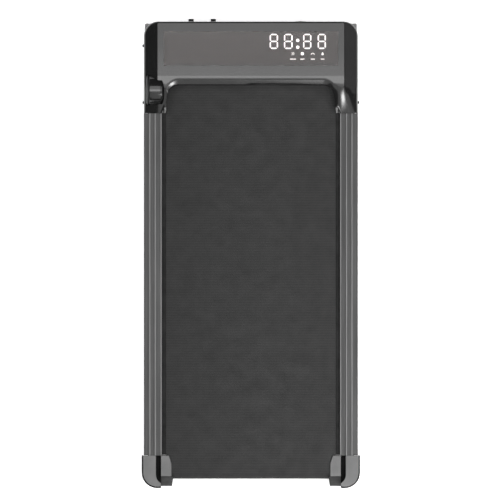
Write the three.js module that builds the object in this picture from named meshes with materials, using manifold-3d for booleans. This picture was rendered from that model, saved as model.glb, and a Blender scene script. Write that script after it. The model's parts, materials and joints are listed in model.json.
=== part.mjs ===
// Flat walking treadmill with a low motor hood, modelled as separate pieces.
// Millimetres. +X is the right side, +Y the hood end, +Z up; z = 0 is the underside of the feet.
import * as THREE from "three";
import { mergeVertices } from "three/addons/utils/BufferGeometryUtils.js";
import Module from "manifold-3d";

const wasm = await Module();
wasm.setup();

// ---------------------------------------------------------------- driving dimensions
const GAP = 0.3; // air between neighbouring pieces
const BODY_LENGTH = 1100; // hood front to the back of the end caps
const BUTTON_PROUD = 6.6; // how far the front buttons stand out of the hood
const FRONT_Y = (BODY_LENGTH - BUTTON_PROUD) / 2;
const REAR_Y = FRONT_Y - BODY_LENGTH;

const BELT_HALF = 200; // 400 mm running width
const BELT_TOP = 66;
const BELT_THICK = 1.6;
const ROLLER_R = 17;
const ROLLER_Z = BELT_TOP - BELT_THICK - GAP - ROLLER_R;
const REAR_ROLLER_Y = REAR_Y + 40.6;
const FRONT_ROLLER_Y = 432;
const ROLLER_HALF = 204;
const SHAFT_R = 5;
const SHAFT_HALF = 238;
const TENSION_X = 234.5; // belt tension bolts, each side of the centre line

const TUBE = { inner: 214, outer: 244, z0: 14, z1: 40, wall: 2, rear: -535, front: 488 };
const CROSS = { z0: 14, z1: 25, width: 24, wall: 1.6 };
const DECK = { half: 230, noseHalf: 198, rear: -475, step: 338, front: 395, thick: 15 };
const DECK_TOP = BELT_TOP - BELT_THICK - GAP;

const RAIL = { inner: 209.7, outer: 252.3, z0: 20, top: 71, wall: 2, ridge: 1.5 };
const RAIL_RIDGES = [211.85, 225.7, 238.4]; // distance of each tread ridge from the centre line
const RIDGE_WIDTH = 4.3;

const HOOD = { half: 252.3, top: 112, bottom: 20, wall: 3, armEnd: 331, cornerR: 34, topHalf: 218.5 };
// (y, z, radius) where the arms fall towards the rear
const ARM_FALL = [[401, 112, 14], [375, 99.8, 60], [352, 90.3, 60], [331, 84]];
const ARM_HOLLOW = { front: 412, top: 70 }; // room left open inside the arms, beside the belt
const BAND = [[HOOD.half - 3, 89], [HOOD.half, 83, 8]]; // (x, z, radius) down the hood's sides
// edge of the belt mouth
const LIP = { y: 396.4, z: 105, half: 196.5, flare: 4.5, flareY: 372, cornerR: 27 };
const MOUTH_LEAN = 15.3; // how far the mouth leans out between its lip and the hood's top
const WINDOW = { half: 205.6, y0: 443, y1: 523, thick: 2, ledge: 3 };

const CAP = { half: 257.3, front: REAR_Y + 76.7, top: 76, wall: 3, cornerR: 36, bottom: 14 };
const CAP_STEP = 224; // outer edge of the cap's dark groove
const CAP_GROOVE_Z = 60;
// the tongue over the belt edge: top height, start of its rear slope, lowest z and wall across the slope
const TONGUE = { inner: 187.1, outer: 212.3, top: 70.5, slopeY: -525, slopeEnd: 35, low: 30, wall: 2.7 };

const WHEEL = { r: 25, width: 20, outer: 250.5, y: FRONT_Y - 3.5 - 25, z: 27 };
const WHEEL_BORE = 4.3;
const MOTOR = { y: 497, z: 62, r: 30, x0: 50, x1: 168, shaftR: 4 };
const PULLEY = { x0: 205, x1: 213.5, driveR: 24, motorR: 10, belt: 2.6 };
const KNOB = { y: 386.4, z: 81, r: 36.5, x0: -246.4, x1: -202.1 };
const BUTTON_XS = { power_button: -141.1, reset_button: -88.8 };
const BUTTON_Z = 62;
const BUTTON_R = 6.4;
const ROCKER = { x: 116.6, z: 62, r: 9, tilt: 6 };
const INLET = { x: 165, z: 48, halfX: 13.5, halfZ: 10, flange: 3, sunk: 1.5 };
const SIDE_SCREWS = {
  left_front_side_screw: { sign: -1, y: 489.8, z: 66 },
  left_rear_side_screw: { sign: -1, y: 356.3, z: 44 },
  right_rear_side_screw: { sign: 1, y: 356.3, z: 44 },
};

const SIDES = [["left", -1], ["right", 1]];
const FAR = 400; // longer than any cut

// ---------------------------------------------------------------- materials
const standard = (color, roughness, metalness = 0) =>
  new THREE.MeshStandardMaterial({ color, roughness, metalness });
const MATERIAL = {
  gloss: standard(0x2a2a2c, 0.22),
  matte: standard(0x3a3a3c, 0.6),
  cap: standard(0x4c4c4e, 0.5),
  rail: standard(0x66676a, 0.45, 0.4),
  steel: standard(0x1d1e20, 0.5, 0.3),
  bright: standard(0xb4b6b8, 0.35, 0.9),
  belt: standard(0x3a3a3a, 0.85),
  rubber: standard(0x161617, 0.9),
  deck: standard(0x23211f, 0.7),
  lens: standard(0x3c3837, 0.12),
  board: standard(0x1f4a33, 0.6),
  aluminium: standard(0x9a9ca0, 0.4, 0.8),
  wheel: standard(0x6e6e70, 0.6),
};

// ---------------------------------------------------------------- shape helpers
function solidOf(geometry) {
  const plain = geometry.index ? geometry.toNonIndexed() : geometry.clone();
  plain.deleteAttribute("normal");
  plain.deleteAttribute("uv");
  const merged = mergeVertices(plain, 1e-3);
  return new wasm.Manifold(new wasm.Mesh({
    numProp: 3,
    vertProperties: new Float32Array(merged.attributes.position.array),
    triVerts: new Uint32Array(merged.index.array),
  }));
}

function geometryOf(solid) {
  const mesh = solid.getMesh();
  const geometry = new THREE.BufferGeometry();
  geometry.setAttribute("position", new THREE.BufferAttribute(new Float32Array(mesh.vertProperties), 3));
  geometry.setIndex(new THREE.BufferAttribute(new Uint32Array(mesh.triVerts), 1));
  geometry.computeVertexNormals();
  return geometry;
}

// Box between two corners; each pair may be given in either order.
function box([xa, xb], [ya, yb], [za, zb]) {
  const geometry = new THREE.BoxGeometry(Math.abs(xb - xa), Math.abs(yb - ya), Math.abs(zb - za));
  geometry.translate((xa + xb) / 2, (ya + yb) / 2, (za + zb) / 2);
  return solidOf(geometry);
}

// Closed outline through corners [x, y, radius]; a radius rounds that corner with an arc.
function outline(corners) {
  const shape = new THREE.Shape();
  corners.forEach(([x, y, r = 0], i) => {
    const corner = new THREE.Vector2(x, y);
    const towards = (j) => {
      const [nx, ny] = corners[(j + corners.length) % corners.length];
      return new THREE.Vector2(nx, ny).sub(corner).normalize();
    };
    if (r === 0) {
      if (i === 0) shape.moveTo(x, y);
      else shape.lineTo(x, y);
      return;
    }
    const back = towards(i - 1);
    const ahead = towards(i + 1);
    const half = Math.acos(THREE.MathUtils.clamp(back.dot(ahead), -1, 1)) / 2;
    const start = corner.clone().addScaledVector(back, r / Math.tan(half));
    const end = corner.clone().addScaledVector(ahead, r / Math.tan(half));
    const centre = corner.clone().addScaledVector(back.clone().add(ahead).normalize(), r / Math.sin(half));
    if (i === 0) shape.moveTo(start.x, start.y);
    else shape.lineTo(start.x, start.y);
    const from = start.clone().sub(centre).angle();
    const to = end.clone().sub(centre).angle();
    shape.absarc(centre.x, centre.y, r, from, to, back.cross(ahead) > 0);
  });
  shape.closePath();
  return shape;
}

// Outline pushed along an axis: x takes (y, z) outlines, y takes (x, z), z takes (x, y).
const TO_AXIS = {
  x: new THREE.Matrix4().set(0, 0, 1, 0, 1, 0, 0, 0, 0, 1, 0, 0, 0, 0, 0, 1),
  y: new THREE.Matrix4().makeRotationX(Math.PI / 2),
  z: new THREE.Matrix4(),
};
function prism(corners, axis, [from, to], curveSegments = 6) {
  const geometry = new THREE.ExtrudeGeometry(outline(corners), {
    depth: to - from, bevelEnabled: false, curveSegments,
  });
  geometry.applyMatrix4(TO_AXIS[axis]);
  const start = { x: [from, 0, 0], y: [0, to, 0], z: [0, 0, from] }[axis];
  geometry.translate(...start);
  return solidOf(geometry);
}

// Turned piece about an axis through the origin; the profile is [radius, distance along the axis].
function turned(profile, axis, segments = 18) {
  const geometry = new THREE.LatheGeometry(profile.map(([r, d]) => new THREE.Vector2(r, d)), segments);
  if (axis === "x") geometry.rotateZ(-Math.PI / 2);
  if (axis === "z") geometry.rotateX(Math.PI / 2);
  return solidOf(geometry);
}
const rod = (radius, [from, to], axis, segments) =>
  turned([[0, from], [radius, from], [radius, to], [0, to]], axis, segments);
const ring = (inner, outer, [from, to], axis, segments) =>
  turned([[inner, from], [outer, from], [outer, to], [inner, to], [inner, from]], axis, segments);

const mirrored = (corners, sign) => corners.map(([x, y, r]) => [x * sign, y, r]);
const span = (a, b, sign) => [a * sign, b * sign];

// ---------------------------------------------------------------- scene graph
const treadmill = new THREE.Group();
treadmill.name = "treadmill";

function part(name, solid, material, parent = treadmill) {
  const mesh = new THREE.Mesh(geometryOf(solid), material);
  mesh.name = name;
  parent.add(mesh);
  return mesh;
}

function groupAt(x, y, z) {
  const group = new THREE.Group();
  group.position.set(x, y, z);
  treadmill.add(group);
  return group;
}

// ---------------------------------------------------------------- frame
function addSideTubes() {
  for (const [side, sign] of SIDES) {
    const { inner, outer, z0, z1, wall, rear, front } = TUBE;
    const shell = box(span(inner, outer, sign), [rear, front], [z0, z1]);
    const bore = span(inner + wall, outer - wall, sign);
    const hollow = box(bore, [rear - 1, front + 1], [z0 + wall, z1 - wall]);
    part(`${side}_frame_tube`, shell.subtract(hollow), MATERIAL.steel);
  }
}

function addCrossTubes() {
  const half = TUBE.inner - GAP;
  const rearEdges = { front_cross_tube: 462, rear_cross_tube: -500 };
  for (const [name, rear] of Object.entries(rearEdges)) {
    const shell = box([-half, half], [rear, rear + CROSS.width], [CROSS.z0, CROSS.z1]);
    const hollow = box([-half - 1, half + 1], [rear + CROSS.wall, rear + CROSS.width - CROSS.wall],
      [CROSS.z0 + CROSS.wall, CROSS.z1 - CROSS.wall]);
    part(name, shell.subtract(hollow), MATERIAL.steel);
  }
}

// L-shaped bracket on the tube end; its forward plate carries the wheel axle.
function addWheelBrackets() {
  const plate = { inner: 224, outer: 227, z0: 15, z1: 46, front: 534 };
  for (const [side, sign] of SIDES) {
    const footDepth = [TUBE.front + GAP, TUBE.front + 3];
    const foot = box(span(TUBE.inner, TUBE.outer - 4, sign), footDepth, [plate.z0, TUBE.z1]);
    const arm = prism([
      [TUBE.front + GAP, plate.z0], [plate.front, plate.z0, 8], [plate.front, plate.z1, 8],
      [TUBE.front + GAP, plate.z1],
    ], "x", span(plate.inner, plate.outer, sign).sort((a, b) => a - b));
    const hole = rod(WHEEL_BORE, span(200, 240, sign).sort((a, b) => a - b), "x");
    const bracket = foot.add(arm).subtract(hole.translate(0, WHEEL.y, WHEEL.z));
    part(`${side}_wheel_bracket`, bracket, MATERIAL.steel);
  }
}

// Tray across the hood bay with a saddle for the motor.
function addMotorTray() {
  const z0 = CROSS.z1 + GAP;
  const tray = box([-200, 200], [464, 540], [z0, z0 + 2]);
  const saddle = box([MOTOR.x0 + 15, MOTOR.x1 - 15], [MOTOR.y - 24, MOTOR.y + 24], [z0 + 1, MOTOR.z - 14]);
  const seat = rod(MOTOR.r + GAP, [MOTOR.x0 - 5, MOTOR.x1 + 5], "x", 28).translate(0, MOTOR.y, MOTOR.z);
  part("motor_tray", tray.add(saddle.subtract(seat)), MATERIAL.steel);
}

function addFeet() {
  const places = { front: 446, rear: -455 };
  const profile = [[0, 0], [12, 0], [13, 1], [13, 9], [9, 11], [9, TUBE.z0 - GAP], [0, TUBE.z0 - GAP]];
  for (const [side, sign] of SIDES) {
    for (const [end, y] of Object.entries(places)) {
      const spot = groupAt(sign * (TUBE.inner + TUBE.outer) / 2, y, 0);
      part(`${end}_${side}_foot`, turned(profile, "z"), MATERIAL.rubber, spot);
    }
  }
}

// ---------------------------------------------------------------- deck and belt
function addDeck() {
  const { half, noseHalf, rear, step, front, thick } = DECK;
  const corners = [
    [-half, rear], [half, rear], [half, step], [noseHalf, step], [noseHalf, front],
    [-noseHalf, front], [-noseHalf, step], [-half, step],
  ];
  part("deck_board", prism(corners, "z", [DECK_TOP - thick, DECK_TOP]), MATERIAL.deck);
  const places = { front: 230, rear: -390 };
  for (const [side, sign] of SIDES) {
    for (const [end, y] of Object.entries(places)) {
      const pad = box(span(216, 229, sign), [y, y + 90], [TUBE.z1 + GAP, DECK_TOP - thick - GAP]);
      part(`${end}_${side}_deck_cushion`, pad, MATERIAL.rubber);
    }
  }
}

// Stadium-shaped loop around two circles of equal radius, as an outline in (y, z).
function stadium(rearY, frontY, z, r) {
  return [[rearY - r, z - r, r], [frontY + r, z - r, r], [frontY + r, z + r, r], [rearY - r, z + r, r]];
}

function addRunningBelt() {
  const inner = ROLLER_R + GAP;
  const widths = [-BELT_HALF, BELT_HALF];
  const loop = prism(stadium(REAR_ROLLER_Y, FRONT_ROLLER_Y, ROLLER_Z, inner + BELT_THICK), "x", widths, 4);
  const space = prism(stadium(REAR_ROLLER_Y, FRONT_ROLLER_Y, ROLLER_Z, inner), "x", [-FAR, FAR], 4);
  part("running_belt", loop.subtract(space), MATERIAL.belt);
}

// ---------------------------------------------------------------- rollers
function addRoller(end, y) {
  const wall = 3;
  const bearing = { width: 9, inset: 1 };
  const axis = groupAt(0, y, ROLLER_Z);
  const drum = ring(ROLLER_R - wall, ROLLER_R, [-ROLLER_HALF, ROLLER_HALF], "x", 24);
  part(`${end}_roller_drum`, drum, MATERIAL.bright, axis);
  part(`${end}_roller_shaft`, rod(SHAFT_R, [-SHAFT_HALF, SHAFT_HALF], "x"), MATERIAL.bright, axis);
  for (const [side, sign] of SIDES) {
    const outerFace = ROLLER_HALF - bearing.inset;
    const range = span(outerFace, outerFace - bearing.width, sign).sort((a, b) => a - b);
    const race = ring(SHAFT_R + GAP, ROLLER_R - wall - GAP, range, "x");
    part(`${end}_${side}_bearing`, race, MATERIAL.bright, axis);
  }
}

// Blocks on the frame tubes that hold the shaft ends; the rear pair also take the tension bolts.
function addShaftBlocks(end, y, halfLength) {
  const z1 = ROLLER_Z + SHAFT_R + 3;
  for (const [side, sign] of SIDES) {
    const inner = TUBE.inner + GAP;
    const along = [y - halfLength, y + halfLength];
    const block = box(span(inner, TUBE.outer - 2, sign), along, [TUBE.z1 + GAP, z1]);
    const reach = span(inner - 5, SHAFT_HALF + 1, sign).sort((a, b) => a - b);
    const bore = rod(SHAFT_R + GAP, reach, "x").translate(0, y, ROLLER_Z);
    let solid = block.subtract(bore);
    if (end === "rear") {
      const boltHole = rod(4.3, [y - FAR, y], "y").translate(sign * TENSION_X, 0, ROLLER_Z);
      solid = solid.subtract(boltHole);
    }
    part(`${end}_${side}_shaft_block`, solid, MATERIAL.steel);
  }
}

function addTensionBolts() {
  const tip = REAR_ROLLER_Y - SHAFT_R - 0.5;
  const head = { y0: REAR_Y + 9, y1: REAR_Y + 16, r: 7 };
  for (const [side, sign] of SIDES) {
    const spot = groupAt(sign * TENSION_X, 0, ROLLER_Z);
    const shank = rod(4, [head.y0 + 1, tip], "y");
    const hexHead = rod(head.r, [head.y0, head.y1], "y", 6);
    const socket = rod(3, [head.y0 - 1, head.y0 + 4], "y", 6);
    part(`${side}_tension_bolt`, shank.add(hexHead).subtract(socket), MATERIAL.bright, spot);
  }
}

// ---------------------------------------------------------------- drive
// Grooved pulley profile with a bore, along x.
function groovedPulley(bore, radius) {
  const ribs = 3;
  const depth = 1.2;
  const pitch = (PULLEY.x1 - PULLEY.x0) / ribs;
  const profile = [[bore, PULLEY.x0]];
  for (let i = 0; i < ribs; i += 1) {
    const start = PULLEY.x0 + i * pitch;
    profile.push([radius, start], [radius - depth, start + pitch / 2]);
  }
  profile.push([radius, PULLEY.x1], [bore, PULLEY.x1], [bore, PULLEY.x0]);
  return turned(profile, "x", 20);
}

// Outline in (y, z) of a loop round two pulleys, grown by a margin.
function driveLoop(margin) {
  const from = new THREE.Vector2(FRONT_ROLLER_Y, ROLLER_Z);
  const to = new THREE.Vector2(MOTOR.y, MOTOR.z);
  const lean = to.clone().sub(from).angle();
  const spread = Math.acos((PULLEY.driveR - PULLEY.motorR) / to.distanceTo(from));
  const shape = new THREE.Shape();
  shape.absarc(from.x, from.y, PULLEY.driveR + margin, lean + spread, lean - spread + 2 * Math.PI, false);
  shape.absarc(to.x, to.y, PULLEY.motorR + margin, lean - spread, lean + spread, false);
  shape.closePath();
  const geometry = new THREE.ExtrudeGeometry(shape, {
    depth: PULLEY.x1 - PULLEY.x0, bevelEnabled: false, curveSegments: 8,
  });
  geometry.applyMatrix4(TO_AXIS.x);
  geometry.translate(PULLEY.x0, 0, 0);
  return solidOf(geometry);
}

function addDrive() {
  const { y, z, r, x0, x1, shaftR } = MOTOR;
  const rollerAxis = groupAt(0, FRONT_ROLLER_Y, ROLLER_Z);
  part("drive_pulley", groovedPulley(SHAFT_R + GAP, PULLEY.driveR), MATERIAL.aluminium, rollerAxis);
  part("drive_belt", driveLoop(GAP + PULLEY.belt).subtract(driveLoop(GAP)), MATERIAL.rubber);

  const motorAxis = groupAt(0, y, z);
  const endPlate = 4;
  const shellWall = 4;
  const bore = shaftR + 1;
  const housing = turned([
    [bore, x0], [r, x0], [r, x1], [bore, x1], [bore, x1 - endPlate],
    [r - shellWall, x1 - endPlate], [r - shellWall, x0 + endPlate], [bore, x0 + endPlate], [bore, x0],
  ], "x", 28);
  part("motor_housing", housing, MATERIAL.matte, motorAxis);
  const armature = r - shellWall - 1;
  const flywheel = { r: r - 4, x0: x0 - 18, x1: x0 - 6 };
  const rotor = turned([
    [0, flywheel.x0], [flywheel.r, flywheel.x0], [flywheel.r, flywheel.x1], [shaftR, flywheel.x1],
    [shaftR, x0 + 12], [armature, x0 + 12], [armature, x1 - 12],
    [shaftR, x1 - 12], [shaftR, PULLEY.x1 + 0.2], [0, PULLEY.x1 + 0.2],
  ], "x", 20);
  part("motor_rotor", rotor, MATERIAL.bright, motorAxis);
  part("motor_pulley", groovedPulley(shaftR + GAP, PULLEY.motorR), MATERIAL.aluminium, motorAxis);
}

// ---------------------------------------------------------------- hood
// The hood's outer form, shrunk by an inset on every outside face.
function hoodForm(inset, bottom) {
  const { half, top, armEnd, cornerR, topHalf } = HOOD;
  const plan = prism([
    [-half + inset, armEnd + inset], [half - inset, armEnd + inset],
    [half - inset, FRONT_Y - inset, cornerR - inset], [-half + inset, FRONT_Y - inset, cornerR - inset],
  ], "z", [bottom, top + 1], 4);
  const armEndZ = ARM_FALL[ARM_FALL.length - 1][1];
  const side = prism([
    [armEnd - 1, bottom], [FRONT_Y + 1 - inset, bottom], [FRONT_Y - inset, top - inset, 4],
    ...ARM_FALL.map(([y, z, r]) => [y, z - inset, r]), [armEnd - 1, armEndZ - inset],
  ], "x", [-half - 1, half + 1], 3);
  const right = BAND.map(([x, z, r]) => [x - inset, z - inset, r]);
  const crease = [topHalf - inset / 2, top - inset, 5];
  const across = prism([
    [-half + inset, bottom], [half - inset, bottom], ...[...right].reverse(), crease,
    ...[crease, ...right].map(([x, z, r]) => [-x, z, r]),
  ], "y", [armEnd - 1, FRONT_Y + 1], 2);
  return plan.intersect(side).intersect(across);
}

// Outline of the belt mouth at its lip, grown outwards.
function mouthOutline(grow) {
  const { y, half, flare, flareY, cornerR } = LIP;
  const right = [
    [half + flare + grow, HOOD.armEnd], [half + grow, flareY, 20],
    [half - 4 + grow, y + grow, cornerR + grow],
  ];
  const rear = HOOD.armEnd - 60;
  return [
    [-half - flare - grow, rear], [half + flare + grow, rear],
    ...right, ...[...right].reverse().map(([x, ry, r]) => [-x, ry, r]),
  ];
}

// The belt mouth: straight up to the lip, then leaning outwards to the hood's top.
function mouthCutter(grow) {
  const lipZ = LIP.z - grow;
  const geometry = new THREE.ExtrudeGeometry(outline(mouthOutline(grow)), {
    depth: 20, bevelEnabled: true, bevelThickness: HOOD.top - LIP.z, bevelSize: MOUTH_LEAN,
    bevelSegments: 1, curveSegments: 3,
  });
  geometry.translate(0, 0, HOOD.top - grow);
  const leaning = solidOf(geometry).intersect(box([-FAR, FAR], [0, FAR * 2], [lipZ, HOOD.top + 15]));
  const straight = prism(mouthOutline(grow), "z", [0, lipZ + 0.01], 3);
  return straight.add(leaning);
}

function hoodOpenings() {
  const front = [FRONT_Y - 20, FRONT_Y + 5];
  const innerHalf = HOOD.half - HOOD.wall;
  const { half, y0, y1, thick, ledge } = WINDOW;
  const cuts = [
    box([-half - GAP, half + GAP], [y0 - GAP, y1 + GAP], [HOOD.top - thick - GAP, HOOD.top + 5]),
    box([-half + ledge, half - ledge], [y0 + ledge, y1 - ledge], [HOOD.top - 10, HOOD.top + 5]),
    box([-innerHalf, innerHalf], [HOOD.armEnd - 5, ARM_HOLLOW.front], [0, ARM_HOLLOW.top]),
    rod(KNOB.r + 0.9, [KNOB.x0 - 0.6, KNOB.x1 + 0.6], "x", 32).translate(0, KNOB.y, KNOB.z),
    rod(ROCKER.r + 2 + GAP, front, "y", 24).translate(ROCKER.x, 0, ROCKER.z),
    inletCut(GAP, front),
    inletCut(INLET.flange + GAP, [FRONT_Y - INLET.sunk - GAP, FRONT_Y + 5]),
  ];
  for (const x of Object.values(BUTTON_XS)) {
    cuts.push(rod(BUTTON_R + GAP, front, "y").translate(x, 0, BUTTON_Z));
  }
  for (const [, sign] of SIDES) {
    cuts.push(box(span(222, 260, sign), [WHEEL.y - WHEEL.r - 4, FRONT_Y + 5], [0, WHEEL.z + WHEEL.r + 4]));
  }
  for (const { sign, y, z } of Object.values(SIDE_SCREWS)) {
    const reach = span(240, 260, sign).sort((a, b) => a - b);
    cuts.push(rod(2.3, reach, "x", 16).translate(0, y, z));
  }
  return cuts;
}

// Opening for the mains inlet, grown on every side.
function inletCut(grow, depth) {
  const { x, z, halfX, halfZ } = INLET;
  return box([x - halfX - grow, x + halfX + grow], depth, [z - halfZ - grow, z + halfZ + grow]);
}

function addHood() {
  const skin = hoodForm(0, HOOD.bottom).subtract(mouthCutter(0));
  const inside = hoodForm(HOOD.wall, 0).subtract(mouthCutter(HOOD.wall));
  let hood = skin.subtract(inside);
  for (const cut of hoodOpenings()) hood = hood.subtract(cut);
  part("motor_hood", hood, MATERIAL.gloss);

  const { half, y0, y1, thick } = WINDOW;
  const lens = box([-half, half], [y0, y1], [HOOD.top - thick, HOOD.top]);
  part("display_lens", lens, MATERIAL.lens);
  const boardTop = HOOD.top - 12;
  const board = box([30, 190], [y0 + 8, y1 - 1], [boardTop - 1.6, boardTop]);
  const digits = box([40, 181], [y0 + 36, y1 - 3], [boardTop - 0.2, HOOD.top - thick - 1]);
  part("display_board", board.add(digits), MATERIAL.board);

  const pan = prism([
    [-212, 400, 6], [212, 400, 6], [212, FRONT_Y - 4, 6], [-212, FRONT_Y - 4, 6],
  ], "z", [11, TUBE.z0 - GAP]);
  part("belly_pan", pan, MATERIAL.matte);
}

function addSideScrews() {
  const face = HOOD.half + GAP;
  const tip = face + 3.3;
  const head = [[0, 243], [2, 243], [2, face], [3.6, face], [3.4, face + 2.4], [2, tip], [0, tip]];
  for (const [name, { sign, y, z }] of Object.entries(SIDE_SCREWS)) {
    const profile = sign > 0 ? head : head.map(([r, d]) => [r, -d]).reverse();
    part(name, turned(profile, "x", 16), MATERIAL.rubber, groupAt(0, y, z));
  }
}

// ---------------------------------------------------------------- controls
// Barrel across the left arm: a thin rim, a groove, the drum and a domed inner end.
function addControlRoller() {
  const { x0, x1, r } = KNOB;
  const bore = 4.3;
  const profile = [
    [bore, x0], [r - 5, x0], [r - 1, x0 + 2], [r - 1, x0 + 5], [r - 5, x0 + 5.5], [r - 5, x0 + 7.5],
    [r, x0 + 8], [r, -212], [r - 2.5, -211.6], [r - 2, -208], [r - 7, x1 - 2.2], [r - 14, x1],
    [bore, x1], [bore, x0],
  ];
  const spot = groupAt(0, KNOB.y, KNOB.z);
  part("control_roller", turned(profile, "x", 32), MATERIAL.gloss, spot);
  part("control_roller_pin", rod(4, [x0 - GAP, x1 + GAP], "x"), MATERIAL.bright, spot);
}

function addButtons() {
  for (const [name, x] of Object.entries(BUTTON_XS)) {
    const spot = groupAt(x, 0, BUTTON_Z);
    const profile = [
      [0, FRONT_Y - 12], [3, FRONT_Y - 12], [3, FRONT_Y - 7], [BUTTON_R, FRONT_Y - 7],
      [BUTTON_R, FRONT_Y + BUTTON_PROUD - 1], [BUTTON_R - 1, FRONT_Y + BUTTON_PROUD],
      [0, FRONT_Y + BUTTON_PROUD],
    ];
    part(name, turned(profile, "y"), MATERIAL.matte, spot);
  }
}

function addRockerSwitch() {
  const { x, z, r, tilt } = ROCKER;
  const spot = groupAt(x, FRONT_Y - 4, z);
  const shell = turned([
    [r + 0.5, -12], [r + 2, -12], [r + 2, 4 + GAP], [r + 4, 4 + GAP], [r + 4, 5], [r + 0.5, 5],
    [r + 0.5, -12],
  ], "y", 24);
  part("rocker_switch_body", shell, MATERIAL.rubber, spot);
  const paddle = turned([[0, -5], [r - 1.4, -5], [r - 0.8, 0], [r - 1, 3.4], [r - 4, 5], [0, 5.8]], "y", 20);
  const mesh = part("rocker_paddle", paddle, MATERIAL.matte, spot);
  mesh.rotation.x = THREE.MathUtils.degToRad(-tilt);
}

// Recessed mains inlet with three blades; the cord is not part of the object.
function addPowerInlet() {
  const { x, z, halfX, halfZ, sunk } = INLET;
  const spot = groupAt(x, FRONT_Y, z);
  const wall = 1.5;
  const [outX, outZ] = [halfX + INLET.flange, halfZ + INLET.flange];
  const body = box([-halfX, halfX], [-18, 0], [-halfZ, halfZ]);
  const flange = box([-outX, outX], [-sunk, 0], [-outZ, outZ]);
  const recess = box([-halfX + wall, halfX - wall], [-16, 5], [-halfZ + wall, halfZ - wall]);
  let inlet = body.add(flange).subtract(recess);
  for (const [bx, bz] of [[-7, -2], [0, 2], [7, -2]]) {
    inlet = inlet.add(box([bx - 1, bx + 1], [-17, -8], [bz - 2, bz + 2]));
  }
  part("power_inlet", inlet, MATERIAL.rubber, spot);
}

function addController() {
  const z0 = CROSS.z1 + GAP + 2 + GAP;
  const [fins, pitch, height] = [9, 6, 16];
  let sink = box([-190, -60], [478, 478 + fins * pitch - 4], [z0, z0 + 4]);
  for (let i = 0; i < fins; i += 1) {
    const y = 478 + i * pitch;
    sink = sink.add(box([-190, -60], [y, y + 2], [z0 + 3, z0 + 4 + height]));
  }
  part("controller_heat_sink", sink, MATERIAL.aluminium);
  const boardZ = z0 + 4 + height + GAP;
  const board = box([-195, -50], [472, 534], [boardZ, boardZ + 1.6]);
  const block = box([-90, -60], [480, 505], [boardZ + 1, boardZ + 14]);
  const coil = rod(9, [boardZ + 1, boardZ + 18], "z", 20).translate(-150, 503, 0);
  part("controller_board", board.add(block).add(coil), MATERIAL.board);
}

// ---------------------------------------------------------------- side rails
function railProfile(sign) {
  const { inner, outer, z0, top, wall, ridge } = RAIL;
  const corners = [[outer, z0], [outer, top - 1], [outer - 1, top]];
  for (const centre of [...RAIL_RIDGES].reverse()) {
    const half = RIDGE_WIDTH / 2;
    corners.push([centre + half, top], [centre + half - 0.6, top + ridge]);
    corners.push([centre - half + 0.6, top + ridge], [centre - half, top]);
  }
  const flange = { z0: TUBE.z1 + GAP, z1: TUBE.z1 + GAP + wall, inner: 233 };
  corners.push([inner, DECK_TOP + 0.6], [inner + wall, DECK_TOP + 0.6], [inner + wall, top - wall]);
  corners.push([outer - wall, top - wall], [outer - wall, flange.z1], [flange.inner, flange.z1]);
  corners.push([flange.inner, flange.z0], [outer - wall, flange.z0], [outer - wall, z0]);
  return mirrored(corners, sign);
}

function addSideRails() {
  for (const [side, sign] of SIDES) {
    const rail = prism(railProfile(sign), "y", [CAP.front + GAP, HOOD.armEnd - GAP]);
    part(`${side}_side_rail`, rail, MATERIAL.rail);
  }
}

// ---------------------------------------------------------------- rear end caps
function capPlan(grow) {
  const { half, front, cornerR } = CAP;
  return [
    [half + grow, front], [half + grow, REAR_Y - grow, cornerR + grow], [212 - grow, REAR_Y - grow, 6],
    [203 - grow, REAR_Y + 8 - grow], [190 - grow, REAR_Y + 8 - grow, 3], [TONGUE.inner - grow, front - 19],
    [TONGUE.inner + 6.3 - grow, front],
  ];
}

// inner face of the tongue's rear slope: y at a height, and height at a y
const TONGUE_REAR = REAR_Y + 4.4;
const SLOPE_RUN = (TONGUE.slopeY - TONGUE_REAR) / (TONGUE.top - TONGUE.slopeEnd);
const slopeInnerY = (z) => TONGUE.slopeY + TONGUE.wall - SLOPE_RUN * (TONGUE.top - z);
const slopeInnerZ = (y) => TONGUE.top - (TONGUE.slopeY + TONGUE.wall - y) / SLOPE_RUN;

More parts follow.
